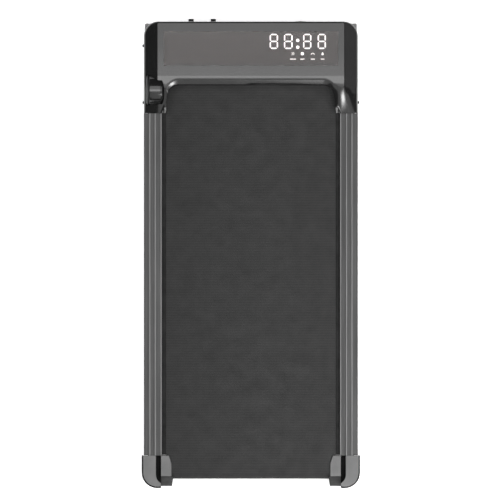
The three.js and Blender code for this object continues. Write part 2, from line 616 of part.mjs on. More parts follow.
function addEndCaps() {
  const { front, top, wall, bottom } = CAP;
  for (const [side, sign] of SIDES) {
    const plan = prism(mirrored(capPlan(0), sign), "z", [bottom, top], 5);
    // lower inner part: groove floor, then the tongue over the belt edge with its rear slope
    const pocket = prism(mirrored([
      [CAP_STEP, front + 5], [CAP_STEP, REAR_Y + 8, 24], [170, REAR_Y + 8], [170, front + 5],
    ], sign), "z", [CAP_GROOVE_Z, top + 5], 5);
    const slope = prism([
      [TONGUE.slopeY, TONGUE.top], [TONGUE_REAR, TONGUE.slopeEnd], [TONGUE_REAR, bottom - 1],
      [REAR_Y - 5, bottom - 1], [REAR_Y - 5, top + 1], [TONGUE.slopeY, top + 1],
    ], "x", span(170, TONGUE.outer, sign).sort((a, b) => a - b));
    const tongue = prism(mirrored([
      [TONGUE.outer, front], [TONGUE.outer, TONGUE_REAR], [186, TONGUE_REAR], [183, REAR_Y + 19],
      [TONGUE.inner, REAR_Y + 20], [TONGUE.inner, front - 19], [TONGUE.inner + 6.3, front],
    ], sign), "z", [TONGUE.low, TONGUE.top]);
    const outerForm = plan.subtract(pocket).add(tongue).subtract(slope);
    // hollow underneath: the outer chamber, and a lower chamber beneath the groove and the tongue
    const chamber = prism(mirrored([
      [CAP.half - wall, front + 5], [CAP.half - wall, REAR_Y + wall, 27],
      [CAP_STEP + wall, REAR_Y + wall], [CAP_STEP + wall, front + 5],
    ], sign), "z", [0, top - wall], 4);
    const lowRear = REAR_Y + 11.5;
    const lowTop = CAP_GROOVE_Z - wall;
    const low = prism([
      [front + 5, 0], [front + 5, lowTop], [slopeInnerY(lowTop), lowTop], [lowRear, slopeInnerZ(lowRear)],
      [lowRear, 0],
    ], "x", span(150, CAP_STEP + wall + 1, sign).sort((a, b) => a - b));
    const rise = TONGUE.top - wall;
    const underTongue = prism([
      [front + 5, 50], [front + 5, rise], [slopeInnerY(rise), rise], [slopeInnerY(50), 50],
    ], "x", span(150, TONGUE.outer - wall, sign).sort((a, b) => a - b));
    const access = rod(5, [REAR_Y - 5, REAR_Y + 10], "y", 20).translate(sign * TENSION_X, 0, ROLLER_Z);
    const solid = outerForm.subtract(chamber).subtract(low).subtract(underTongue).subtract(access);
    part(`${side}_end_cap`, solid, MATERIAL.cap);
  }
}

// ---------------------------------------------------------------- transport wheels
function addWheels() {
  const { r, width, outer, y, z } = WHEEL;
  const recess = { r: 9, depth: 4 };
  for (const [side, sign] of SIDES) {
    const spot = groupAt(0, y, z);
    const inner = outer - width;
    const tyre = [
      [WHEEL_BORE, inner], [r - 2, inner], [r, inner + 2], [r, outer - 2], [r - 2, outer],
      [recess.r, outer], [recess.r, outer - recess.depth], [WHEEL_BORE, outer - recess.depth],
      [WHEEL_BORE, inner],
    ];
    const bolt = [
      [0, 219], [7, 219], [7, 223.6], [4, 223.6], [4, outer - recess.depth + GAP],
      [7.5, outer - recess.depth + GAP], [7.5, outer - 1.5], [0, outer - 1.5],
    ];
    const facing = (profile) => (sign > 0 ? profile : profile.map(([d, x]) => [d, -x]).reverse());
    part(`${side}_transport_wheel`, turned(facing(tyre), "x", 24), MATERIAL.wheel, spot);
    part(`${side}_wheel_axle`, turned(facing(bolt), "x"), MATERIAL.bright, spot);
  }
}

addSideTubes();
addCrossTubes();
addWheelBrackets();
addMotorTray();
addFeet();
addDeck();
addRunningBelt();
addRoller("front", FRONT_ROLLER_Y);
addRoller("rear", REAR_ROLLER_Y);
addShaftBlocks("front", FRONT_ROLLER_Y, 11);
addShaftBlocks("rear", REAR_ROLLER_Y, 15);
addTensionBolts();
addDrive();
addHood();
addSideScrews();
addControlRoller();
addButtons();
addRockerSwitch();
addPowerInlet();
addController();
addSideRails();
addEndCaps();
addWheels();

export default treadmill;
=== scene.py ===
import json
import math

import bmesh
import bpy
from mathutils import Matrix, Vector


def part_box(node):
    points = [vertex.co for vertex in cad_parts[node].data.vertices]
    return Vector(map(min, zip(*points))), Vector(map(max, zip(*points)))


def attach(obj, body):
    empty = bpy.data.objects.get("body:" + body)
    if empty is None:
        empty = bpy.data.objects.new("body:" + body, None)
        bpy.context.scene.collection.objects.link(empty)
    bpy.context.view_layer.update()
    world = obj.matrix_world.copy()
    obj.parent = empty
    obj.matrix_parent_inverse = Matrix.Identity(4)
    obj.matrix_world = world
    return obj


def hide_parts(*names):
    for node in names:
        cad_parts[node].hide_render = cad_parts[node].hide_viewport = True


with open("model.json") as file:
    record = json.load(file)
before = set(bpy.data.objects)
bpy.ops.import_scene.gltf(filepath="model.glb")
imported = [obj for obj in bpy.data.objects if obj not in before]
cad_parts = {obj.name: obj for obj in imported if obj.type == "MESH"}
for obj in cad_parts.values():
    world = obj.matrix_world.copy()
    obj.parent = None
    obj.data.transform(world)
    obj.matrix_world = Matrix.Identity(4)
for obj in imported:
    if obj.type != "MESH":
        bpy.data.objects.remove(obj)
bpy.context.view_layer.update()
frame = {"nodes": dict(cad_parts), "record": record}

MM = 0.001
TINY = 1e-6
BODIES = frame["record"]["behaviour"]["bodies"]
BODY_OF = {node: body for body, nodes in BODIES.items() for node in nodes}
SIDES = (("left", -1), ("right", 1))


def box_mm(node):
    """Lowest and highest corner of a CAD node, in millimetres."""
    low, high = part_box(node)
    return low / MM, high / MM


def round_node(node, axis):
    """Corners, middle and radius of a turned CAD node. The middle has 0 along the axis, because a
    turning profile gives the distances there."""
    low, high = box_mm(node)
    centre = [0.0 if name == axis else (a + b) / 2 for name, a, b in zip("xyz", low, high)]
    across = {"x": 2, "y": 0, "z": 1}[axis]
    return low, high, centre, (high[across] - low[across]) / 2


def side_span(sign, first, second):
    """Span in x between two distances from the middle, on one side of the treadmill."""
    return sorted((sign * first, sign * second))


# ------------------------------------------------------------------ outlines and meshes
def outline(corners, steps=8):
    """Points of a closed outline through corners (x, y, radius); the radius may be left out."""
    points = []
    count = len(corners)
    for i, (x, y, *rest) in enumerate(corners):
        radius = rest[0] if rest else 0.0
        corner = Vector((x, y))
        if radius <= 0:
            points.append((x, y))
            continue
        back = (Vector(corners[i - 1][:2]) - corner).normalized()
        ahead = (Vector(corners[(i + 1) % count][:2]) - corner).normalized()
        half = back.angle(ahead) / 2
        centre = corner + (back + ahead).normalized() * radius / math.sin(half)
        start = corner + back * radius / math.tan(half) - centre
        end = corner + ahead * radius / math.tan(half) - centre
        first = math.atan2(start.y, start.x)
        sweep = math.atan2(end.y, end.x) - first
        sweep = (sweep + math.pi) % (2 * math.pi) - math.pi
        for step in range(steps + 1):
            angle = first + sweep * step / steps
            points.append((centre.x + radius * math.cos(angle), centre.y + radius * math.sin(angle)))
    return points


def make_object(name, vertices, faces, smooth_angle=35.0):
    """Mesh object from points in millimetres, shaded smooth except over edges sharper than the angle."""
    mesh = bpy.data.meshes.new(name)
    mesh.from_pydata([(x * MM, y * MM, z * MM) for x, y, z in vertices], [], faces)
    mesh.validate()
    obj = bpy.data.objects.new(name, mesh)
    bpy.context.scene.collection.objects.link(obj)
    clean(obj, smooth_angle)
    return obj


def clean(obj, smooth_angle=35.0):
    """Merges doubles, points the faces outwards and marks the sharp edges."""
    data = bmesh.new()
    data.from_mesh(obj.data)
    bmesh.ops.remove_doubles(data, verts=data.verts, dist=2e-6)
    bmesh.ops.dissolve_degenerate(data, edges=data.edges, dist=1e-6)
    bmesh.ops.recalc_face_normals(data, faces=data.faces)
    limit = math.radians(smooth_angle)
    for face in data.faces:
        face.smooth = True
    for edge in data.edges:
        edge.smooth = len(edge.link_faces) == 2 and edge.calc_face_angle(0.0) < limit
    data.to_mesh(obj.data)
    data.free()


AXES = {
    "x": lambda u, v, d: (d, u, v),
    "y": lambda u, v, d: (u, d, v),
    "z": lambda u, v, d: (u, v, d),
}


def loft(name, axis, levels, smooth_angle=35.0):
    """Closed solid through outlines of equal point count; levels are (outline points, distance)."""
    place = AXES[axis]
    vertices = []
    for points, distance in levels:
        vertices += [place(u, v, distance) for u, v in points]
    count = len(levels[0][0])
    faces = [tuple(range(count)), tuple(range(len(vertices) - count, len(vertices)))]
    for level in range(len(levels) - 1):
        low, high = level * count, (level + 1) * count
        for i in range(count):
            j = (i + 1) % count
            faces.append((low + i, low + j, high + j, high + i))
    return make_object(name, vertices, faces, smooth_angle)


def rectangle(x0, x1, y0, y1, radius=0.0, steps=8, far_radius=None):
    """Outline of a rectangle with rounded corners; the corners at y1 may have a radius of their own."""
    far = radius if far_radius is None else far_radius
    return outline([(x0, y0, radius), (x1, y0, radius), (x1, y1, far), (x0, y1, far)], steps)


def regular(x, y, radius, count=20):
    """Outline of a regular polygon, or of a disc."""
    turns = [2 * math.pi * i / count for i in range(count)]
    return [(x + radius * math.cos(turn), y + radius * math.sin(turn)) for turn in turns]


def plate(name, points, axis, span):
    return loft(name, axis, [(points, span[0]), (points, span[1])])


def prism(name, corners, axis, span, steps=8):
    return plate(name, outline(corners, steps), axis, span)


def block(name, xs, ys, zs):
    return plate(name, rectangle(*xs, *ys), "z", zs)


def turned(name, profile, axis, centre, segments=64, smooth_angle=35.0):
    """Piece turned about an axis through centre. The profile is (radius, distance) and closes on
    itself, unless it starts and ends at radius 0."""
    closed = profile[0][0] > 0
    vertices, faces = [], []
    for radius, distance in profile:
        for i in range(segments):
            angle = 2 * math.pi * i / segments
            x, y, z = AXES[axis](radius * math.cos(angle), radius * math.sin(angle), distance)
            vertices.append((x + centre[0], y + centre[1], z + centre[2]))
    rows = len(profile)
    for row in range(rows if closed else rows - 1):
        following = (row + 1) % rows
        for i in range(segments):
            j = (i + 1) % segments
            faces.append((row * segments + i, row * segments + j,
                          following * segments + j, following * segments + i))
    return make_object(name, vertices, faces, smooth_angle)


def rounded_profile(corners):
    """Turning profile with rounded corners; the ends on the axis stay where they are."""
    return outline(corners, 4)


def facing(sign, profile):
    """A profile along x whose distances count outwards on one side of the treadmill."""
    return [(radius, sign * distance) for radius, distance in profile]


def boolean(target, operation, *tools):
    """Cuts or joins with other objects, then deletes them."""
    for tool in tools:
        modifier = target.modifiers.new("boolean", "BOOLEAN")
        modifier.operation = operation
        modifier.solver = "MANIFOLD"
        modifier.object = tool
        bake(target)
        bpy.data.objects.remove(tool)
    clean(target)


def bake(obj):
    """Replaces the mesh by the result of the modifiers."""
    graph = bpy.context.evaluated_depsgraph_get()
    mesh = bpy.data.meshes.new_from_object(obj.evaluated_get(graph))
    obj.modifiers.clear()
    old = obj.data
    obj.data = mesh
    bpy.data.meshes.remove(old)


def bevel(obj, width, segments=3, angle=38.0):
    """Rounds every edge sharper than the angle, as real geometry."""
    modifier = obj.modifiers.new("bevel", "BEVEL")
    modifier.width = width * MM
    modifier.segments = segments
    modifier.limit_method = "ANGLE"
    modifier.angle_limit = math.radians(angle)
    modifier.use_clamp_overlap = True
    bake(obj)
    clean(obj, 50.0)


def flatten_shading(obj):
    """Lets large flat faces set the normals next to their rounded edges."""
    modifier = obj.modifiers.new("weighted", "WEIGHTED_NORMAL")
    modifier.keep_sharp = True
    modifier.weight = 80


def finish_piece(obj, slot, *nodes, look=None, body="chassis"):
    """Gives a piece its material, the CAD nodes that it stands for and the body that it rides on."""
    obj.data.materials.clear()
    obj.data.materials.append(MATERIALS[look or slot])
    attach(obj, BODY_OF[nodes[0]] if nodes else body)
    if nodes:
        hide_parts(*nodes)


# ------------------------------------------------------------------ materials
class Look:
    """A procedural material around one Principled shader."""

    def __init__(self, name, colour, roughness, **sockets):
        self.material = bpy.data.materials.new(name)
        self.material.use_nodes = True
        self.tree = self.material.node_tree
        self.shader = self.tree.nodes["Principled BSDF"]
        self.shader.inputs["Base Color"].default_value = (*colour, 1.0)
        self.shader.inputs["Roughness"].default_value = roughness
        for socket, value in sockets.items():
            self.shader.inputs[socket.replace("_", " ")].default_value = value
        self.height = None

    def node(self, kind, **values):
        made = self.tree.nodes.new(kind)
        for key, value in values.items():
            if key in made.inputs:
                made.inputs[key].default_value = value
            else:
                setattr(made, key, value)
        return made

    def link(self, source, target):
        self.tree.links.new(source, target)

    def position(self, scale=(1.0, 1.0, 1.0)):
        coordinates = self.node("ShaderNodeTexCoord")
        mapping = self.node("ShaderNodeMapping")
        mapping.inputs["Scale"].default_value = scale
        self.link(coordinates.outputs["Object"], mapping.inputs["Vector"])
        return mapping.outputs["Vector"]

    def noise(self, scale, detail=4.0, stretch=(1.0, 1.0, 1.0), roughness=0.55):
        made = self.node("ShaderNodeTexNoise", Scale=scale, Detail=detail, Roughness=roughness)
        self.link(self.position(stretch), made.inputs["Vector"])
        return made.outputs["Fac"]

    def mapped(self, value, low, high, start=0.3, end=0.7):
        made = self.node("ShaderNodeMapRange")
        made.inputs["From Min"].default_value = start
        made.inputs["From Max"].default_value = end
        made.inputs["To Min"].default_value = low
        made.inputs["To Max"].default_value = high
        self.link(value, made.inputs["Value"])
        return made.outputs["Result"]

    def vary_roughness(self, value, low, high):
        self.link(self.mapped(value, low, high), self.shader.inputs["Roughness"])

    def vary_colour(self, value, dark, light, start=0.3, end=0.7):
        ramp = self.node("ShaderNodeValToRGB")
        ramp.color_ramp.elements[0].position = start
        ramp.color_ramp.elements[1].position = end
        ramp.color_ramp.elements[0].color = (*dark, 1.0)
        ramp.color_ramp.elements[1].color = (*light, 1.0)
        self.link(value, ramp.inputs["Fac"])
        self.link(ramp.outputs["Color"], self.shader.inputs["Base Color"])

    def bump(self, value, depth, strength=1.0):
        """Adds a bump layer of the given depth in millimetres on top of the earlier ones."""
        made = self.node("ShaderNodeBump", Strength=strength, Distance=depth * MM)
        self.link(value, made.inputs["Height"])
        if self.height is not None:
            self.link(self.height, made.inputs["Normal"])
        self.height = made.outputs["Normal"]
        self.link(self.height, self.shader.inputs["Normal"])

    def math(self, operation, first, second):
        made = self.node("ShaderNodeMath", operation=operation)
        for socket, value in zip(made.inputs, (first, second)):
            if isinstance(value, (int, float)):
                socket.default_value = value
            else:
                self.link(value, socket)
        return made.outputs[0]


def grey(value, warm=0.0):
    return (value * (1 + warm), value, value * (1 - warm))


def gloss_black():
    look = Look("gloss_black", grey(0.008), 0.16, Coat_Weight=0.35, Coat_Roughness=0.06)
    look.vary_roughness(look.noise(35, 5), 0.13, 0.21)
    look.vary_colour(look.noise(9, 3), grey(0.006), grey(0.011))
    look.bump(look.noise(420, 2), 0.012, 0.35)
    return look.material


def textured_black(name="matte_black", value=0.022, roughness=0.5, specular=0.5):
    look = Look(name, grey(value), roughness, Specular_IOR_Level=specular)
    look.vary_roughness(look.noise(60, 5), roughness - 0.08, roughness + 0.12)
    look.vary_colour(look.noise(25, 4), grey(value * 0.8), grey(value * 1.35))
    look.bump(look.noise(1400, 3), 0.05, 0.6)
    look.bump(look.noise(160, 3), 0.03, 0.25)
    return look.material


def cap_paint():
    look = Look("cap_grey", grey(0.08), 0.34, Metallic=0.85)
    look.vary_roughness(look.noise(50, 5), 0.30, 0.42)
    look.vary_colour(look.noise(18, 4), grey(0.071), grey(0.089))
    look.bump(look.noise(1600, 3), 0.03, 0.35)
    look.bump(look.noise(90, 2), 0.04, 0.12)
    return look.material


def rail_paint(highlight_start):
    """Satin paint, lighter on the tread ridges above the given height: a painted highlight."""
    look = Look("rail_grey", grey(0.10), 0.42, Metallic=0.7)
    streaks = look.noise(260, 5, stretch=(1.0, 0.02, 1.0))
    split = look.node("ShaderNodeSeparateXYZ")
    look.link(look.position(), split.inputs["Vector"])
    # painted highlight: the colour goes to its light end on the ridge tops, mixed with random streaks
    ridge_highlight = look.mapped(split.outputs["Z"], 0.0, 1.0, highlight_start * MM, (highlight_start + 0.5) * MM)
    shade = look.math("ADD", look.math("MULTIPLY", ridge_highlight, 0.6),
                      look.math("MULTIPLY", look.noise(120, 4, stretch=(1.0, 0.04, 1.0)), 0.3))
    look.vary_colour(shade, grey(0.033), grey(0.135), 0.1, 0.85)
    look.vary_roughness(streaks, 0.34, 0.5)
    look.bump(streaks, 0.02, 0.4)
    look.bump(look.noise(700, 2), 0.01, 0.3)
    return look.material


def powder_coat():
    look = Look("frame_black", grey(0.02), 0.45)
    look.vary_roughness(look.noise(80, 4), 0.38, 0.55)
    look.vary_colour(look.noise(30, 4), grey(0.016), grey(0.028))
    look.bump(look.noise(500, 2), 0.06, 0.5)
    return look.material


def plated_steel():
    look = Look("plated_steel", grey(0.5), 0.3, Metallic=1.0)
    brushed = look.noise(900, 4, stretch=(0.03, 1.0, 1.0))
    look.vary_roughness(brushed, 0.22, 0.42)
    look.vary_colour(look.noise(40, 4), (0.42, 0.43, 0.44), (0.58, 0.58, 0.57))
    look.bump(brushed, 0.01, 0.4)
    return look.material


def aluminium():
    look = Look("bare_aluminium", grey(0.6), 0.3, Metallic=1.0)
    look.vary_roughness(look.noise(200, 4, stretch=(1.0, 0.1, 1.0)), 0.25, 0.45)
    look.vary_colour(look.noise(30, 3), grey(0.5), grey(0.66))
    look.bump(look.noise(600, 3, stretch=(1.0, 0.1, 1.0)), 0.01, 0.4)
    return look.material


def soft_rubber():
    look = Look("rubber_black", grey(0.02), 0.75)
    look.vary_roughness(look.noise(70, 4), 0.65, 0.85)
    look.vary_colour(look.noise(40, 4), grey(0.014), grey(0.028))
    look.bump(look.noise(900, 3), 0.05, 0.5)
    return look.material


def deck_laminate():
    look = Look("deck_laminate", grey(0.008), 0.6, Specular_IOR_Level=0.15)
    look.vary_roughness(look.noise(60, 4), 0.5, 0.7)
    look.vary_colour(look.noise(25, 4), grey(0.005), grey(0.010))
    look.bump(look.noise(500, 3), 0.02, 0.3)
    return look.material


def circuit_green():
    look = Look("circuit_board", (0.02, 0.09, 0.04), 0.4)
    look.vary_roughness(look.noise(80, 4), 0.3, 0.5)
    tracks = look.node("ShaderNodeTexVoronoi", Scale=260.0, feature="DISTANCE_TO_EDGE",
                       distance="MANHATTAN")
    look.link(look.position(), tracks.inputs["Vector"])
    look.vary_colour(tracks.outputs["Distance"], (0.04, 0.14, 0.06), (0.015, 0.07, 0.03), 0.02, 0.06)
    look.bump(tracks.outputs["Distance"], 0.03, 0.4)
    return look.material


def wheel_plastic():
    look = Look("wheel_grey", grey(0.16), 0.5)
    look.vary_roughness(look.noise(60, 4), 0.42, 0.6)
    look.vary_colour(look.noise(30, 4), grey(0.14), grey(0.19))
    look.bump(look.noise(900, 3), 0.03, 0.4)
    return look.material


def smoked_lens():
    look = Look("smoked_lens", (0.52, 0.487, 0.48), 0.05, Transmission_Weight=1.0, IOR=1.49)
    look.vary_roughness(look.noise(40, 4), 0.03, 0.08)
    look.bump(look.noise(300, 2), 0.004, 0.2)
    return look.material


def display_mask():
    look = Look("display_mask", (0.07, 0.052, 0.048), 0.7, Specular_IOR_Level=0.0)
    look.vary_roughness(look.noise(60, 4), 0.6, 0.8)
    look.vary_colour(look.noise(30, 3), (0.066, 0.049, 0.045), (0.074, 0.055, 0.051))
    return look.material


def lit_segment():
    look = Look("lit_segment", grey(0.8), 0.5, Emission_Strength=3.2)
    look.shader.inputs["Emission Color"].default_value = (1.0, 1.0, 1.0, 1.0)
    look.vary_colour(look.noise(300, 3), grey(0.7), grey(0.9))
    return look.material


def belt_weave():
    """Woven belt: fine ribs across, finer threads along."""
    look = Look("belt_black", grey(0.02), 0.75, Specular_IOR_Level=0.25)
    uv = look.node("ShaderNodeUVMap", uv_map="belt")
    split = look.node("ShaderNodeSeparateXYZ")
    look.link(uv.outputs["UV"], split.inputs["Vector"])

    def wave(value, pitch):
        turns = look.math("MULTIPLY", value, 2 * math.pi / (pitch * MM))
        return look.math("SINE", turns, 0)

    across = wave(split.outputs["Y"], 2.0)
    along = wave(split.outputs["X"], 2.0)
    weave = look.math("MULTIPLY", across, along)
    ribs = wave(split.outputs["Y"], 6.03)
    texture = look.math("ADD", look.math("MULTIPLY", weave, 0.5), look.math("MULTIPLY", ribs, 0.24))
    patches = look.math("MULTIPLY", look.noise(14, 4), 0.25)
    shade = look.math("ADD", look.math("MULTIPLY", texture, 0.3), look.math("ADD", patches, 0.375))
    look.vary_colour(shade, grey(0.013), grey(0.032), 0.2, 0.8)
    look.vary_roughness(look.noise(30, 4), 0.62, 0.8)
    look.bump(texture, 0.16, 0.8)
    look.bump(look.noise(1800, 2), 0.04, 0.4)
    return look.material


def floor_white():
    look = Look("floor_white", grey(0.88), 0.9, Emission_Strength=0.6)
    look.shader.inputs["Emission Color"].default_value = (1.0, 1.0, 1.0, 1.0)
    look.vary_colour(look.noise(3, 3), grey(0.875), grey(0.885))
    return look.material


MATERIALS = {
    "gloss_black": gloss_black(),
    "matte_black": textured_black(),
    "side_screw_black": textured_black("side_screw_black", 0.006, 0.5, 0.2),
    # near-black dull materials that are painted shade on the caps' sides, rounded edges, groove floor and
    # rear slope
    "painted_shade_black": textured_black("painted_shade_black", 0.006, 0.6, 0.02),
    "slope_painted_shade": textured_black("slope_painted_shade", 0.012, 0.5, 0.2),
    "display_mask": display_mask(),
    "cap_grey": cap_paint(),
    # the rails' ridge tops above this height get a painted highlight
    "rail_grey": rail_paint(box_mm("left_side_rail")[1].z - 0.9),
    "frame_black": powder_coat(),
    "plated_steel": plated_steel(),
    "bare_aluminium": aluminium(),
    "rubber_black": soft_rubber(),
    "deck_laminate": deck_laminate(),
    "circuit_board": circuit_green(),
    "wheel_grey": wheel_plastic(),
    "smoked_lens": smoked_lens(),
    "belt_black": belt_weave(),
    "lit_segment": lit_segment(),
}
SLOT_OF = {row["node"]: row["material_slot"] for row in frame["record"]["subparts"]}


def dress_cad_nodes():
    """Every CAD node gets the material of its slot; the ones replaced later are hidden anyway."""
    for node, obj in frame["nodes"].items():
        for material_slot in obj.material_slots:
            material_slot.material = MATERIALS[SLOT_OF[node]]
        if not obj.material_slots:
            obj.data.materials.append(MATERIALS[SLOT_OF[node]])


# ------------------------------------------------------------------ hood
HOOD_LOW, HOOD_HIGH = box_mm("motor_hood")
HOOD_CORNER = 34.0  # plan radius of the front corners
HOOD_EDGE = 4.2  # rounding where the top meets the walls
CROWN_START, CROWN_RADIUS = 440.0, 2600.0  # the top curves down very slightly towards the front
TOP_HALF = 219.6  # half width of the flat top
BAND_FALL = 0.74  # slope of the side bands beyond it
FACET_Y, FACET_SLOPE = 417.0, 0.075  # narrow facet between the top and the mouth
ARM_START, ARM_TURN = 403.0, 20.0  # the arms bend down over this stretch,
ARM_TURN_BEND, ARM_BEND = 0.0110, 0.0056  # quickly at first, then ever more steeply
ARM_CREST = 212.0  # the arms roll down outside this,
ARM_INNER_ROLL = {"left": -0.010, "right": 0.028}  # and inside it the right one down, the left one up
ARM_EDGE_Z, ARM_EDGE_SLOPE, ARM_EDGE_TOP = 73.0, 0.32, 87.5  # their outer edge: end, rise and top
ARM_LEVEL = 16.0  # the inner strip stays level over this last stretch
ARM_BLEND, ARM_BLEND_RUN = 402.0, 27.0  # the side bands turn into the arms' roll from here on
LIP_Y = 396.4
LIP_HALF = 196.5
LIP_CORNER = 27.0
LIP_FLARE, FLARE_Y, FLARE_RUN = 4.5, 372.0, 41.0  # the mouth widens over this run towards the arms' ends
LIP_Z, LIP_ROLL = 105.0, 2.8
LEDGE_SLOPE, LEDGE_BEND = 0.60, 0.0205  # the belt mouth's rise from its lip, easing off with distance
LEFT_RAISE, LEFT_RAISE_START, LEFT_RAISE_RUN = 10.0, 11.0, 14.0  # the left arm loses its ledge
HOOD_WALL = 3.0
LENS_LEDGE, FIT_GAP = 3.0, 0.08  # the window's seat, and the clearance round set-in pieces
WELL_WALL, WELL_ROOM = 2.2, 0.9  # the barrel's well: its wall, and the room round the barrel
BARREL_DOME = 9.4  # depth of the control barrel's domed inner end
WHEEL_ARCH = (222.0, 489.2, 56.0)  # |x| and y beyond which the walls stop at this height


def smooth_min(a, b, r):
    h = min(max(0.5 + 0.5 * (b - a) / r, 0.0), 1.0)
    return b * (1 - h) + a * h - r * h * (1 - h)


def smooth_max(a, b, r):
    return -smooth_min(-a, -b, r)


def edge_drop(inside, radius):
    """How far a rounded edge lies below the sharp one, at a distance inside it."""
    if inside >= radius:
        return 0.0
    return radius - math.sqrt(max(radius ** 2 - (radius - inside) ** 2, 0.0))


def rounded_box_distance(x, y, half_x, high_y, radius):
    """Signed distance to a box that is mirrored in x, ends at high_y and is open towards -y."""
    qx = abs(x) - (half_x - radius)
    qy = y - (high_y - radius)
    return math.hypot(max(qx, 0.0), max(qy, 0.0)) + min(max(qx, qy), 0.0) - radius


def mouth_half(y):
    """Half width of the belt mouth before its corners are rounded."""
    return LIP_HALF + LIP_FLARE * min(max((FLARE_Y - y) / FLARE_RUN, 0.0), 1.0)


def lip_half(y):
    """Half width of the belt mouth at its lip."""
    widened = mouth_half(y)
    past = y - (LIP_Y - LIP_CORNER)
    if past <= 0:
        return widened
    return widened - LIP_CORNER + math.sqrt(max(LIP_CORNER ** 2 - past ** 2, 0.0))


def plan_half(y):
    """Half width of the hood's plan outline."""
    past = y - (HOOD_HIGH.y - HOOD_CORNER)
    if past <= 0:
        return HOOD_HIGH.x
    return HOOD_HIGH.x - HOOD_CORNER + math.sqrt(max(HOOD_CORNER ** 2 - past ** 2, 0.0))


def smooth_step(value):
    value = min(max(value, 0.0), 1.0)
    return value * value * (3 - 2 * value)


def arm_drop(y):
    """How far the arms have bent down below the facet."""
    past = max(ARM_START - y, 0.0)
    turned_past = min(past, ARM_TURN)
    rest = past - turned_past
    return ARM_TURN_BEND * turned_past * (turned_past / 2 + rest) + ARM_BEND * rest * rest / 2


def hood_height(x, y):
    """Height of the hood's outer surface: top, side bands, arms, belt mouth and rounded edges."""
    crown = max(y - CROWN_START, 0.0) ** 2 / (2 * CROWN_RADIUS)
    inner_strip = smooth_step((ARM_CREST + 4 - abs(x)) / 13)
    from_end = max(y - HOOD_LOW.y, 0.0)
    arm_y = HOOD_LOW.y + smooth_max(from_end, ARM_LEVEL * inner_strip - 6 * (1 - inner_strip), 6.0)
    facet = HOOD_HIGH.z - FACET_SLOPE * (FACET_Y - arm_y) - arm_drop(arm_y)
    spine = smooth_min(HOOD_HIGH.z - crown, facet, 0.12)
    band = BAND_FALL * smooth_max(abs(x) - TOP_HALF, 0.0, 3.0)
    edge_z = smooth_min(ARM_EDGE_Z + ARM_EDGE_SLOPE * from_end, ARM_EDGE_TOP, 6.0)
    bow = 2 * (spine - edge_z) / (HOOD_HIGH.x - ARM_CREST) ** 2
    roll = bow * max(abs(x) - ARM_CREST, 0.0) ** 2 / 2
    roll += ARM_INNER_ROLL["right" if x > 0 else "left"] * max(ARM_CREST - abs(x), 0.0) ** 2 / 2
    on_arm = smooth_step((ARM_BLEND - y) / ARM_BLEND_RUN)
    height = spine - band * (1 - on_arm) - roll * on_arm
    out = rounded_box_distance(x, y, mouth_half(y), LIP_Y, LIP_CORNER)
    rise = min(max(out, 0.0), LEDGE_SLOPE / LEDGE_BEND)
    ledge = LIP_Z + LEDGE_SLOPE * rise - LEDGE_BEND * rise * rise / 2
    ledge -= edge_drop(max(out, 0.0), LIP_ROLL)
    if x < 0:
        ledge += LEFT_RAISE * smooth_step((LIP_Y - LEFT_RAISE_START - y) / LEFT_RAISE_RUN)
    height = smooth_min(height, ledge, 0.8)
    inside = -rounded_box_distance(x, y, HOOD_HIGH.x, HOOD_HIGH.y, HOOD_CORNER)
    return height - edge_drop(inside, HOOD_EDGE)


def spread(start, end, step):
    count = max(1, round(abs(end - start) / step))
    return [start + (end - start) * i / count for i in range(count)]


def hood_rows():
    near_edge = [0.0, 0.25, 0.8, 1.6, 2.8, 4.3, 6.0]
    rows = [HOOD_LOW.y] + spread(HOOD_LOW.y + 2, LIP_Y - 6, 1.8)
    rows += [LIP_Y - d for d in (6.0, 4.0, 2.4, 1.2, 0.5, 0.1)]
    rows += [LIP_Y, LIP_Y + 0.2, LIP_Y + 0.6] + spread(LIP_Y + 1.2, LIP_Y + 26, 0.9)
    rows += spread(LIP_Y + 26, HOOD_HIGH.y - 26, 6)
    rows += spread(HOOD_HIGH.y - 26, HOOD_HIGH.y - 6, 2.5)
    return rows + [HOOD_HIGH.y - d for d in reversed(near_edge)]


def hood_columns(y):
    """Positive x positions across one arm, from the lip (or the mouth's corner start) to the wall."""
    inner = lip_half(min(y, LIP_Y))
    outer = plan_half(y)
    crease = min(TOP_HALF - 4, outer - 4)
    count = 22
    columns = [inner + (crease - inner) * (i / count) ** 1.3 for i in range(count)]
    fold = 8 if outer - crease > 20 else (outer - crease) * 0.25
    columns += [crease + fold * i / 8 for i in range(8)]
    start = crease + fold
    towards_edge = (0.0, 0.2, 0.4, 0.58, 0.72, 0.8, 0.86, 0.91, 0.95, 0.98, 0.993, 1.0)
    return columns + [start + (outer - start) * part for part in towards_edge]


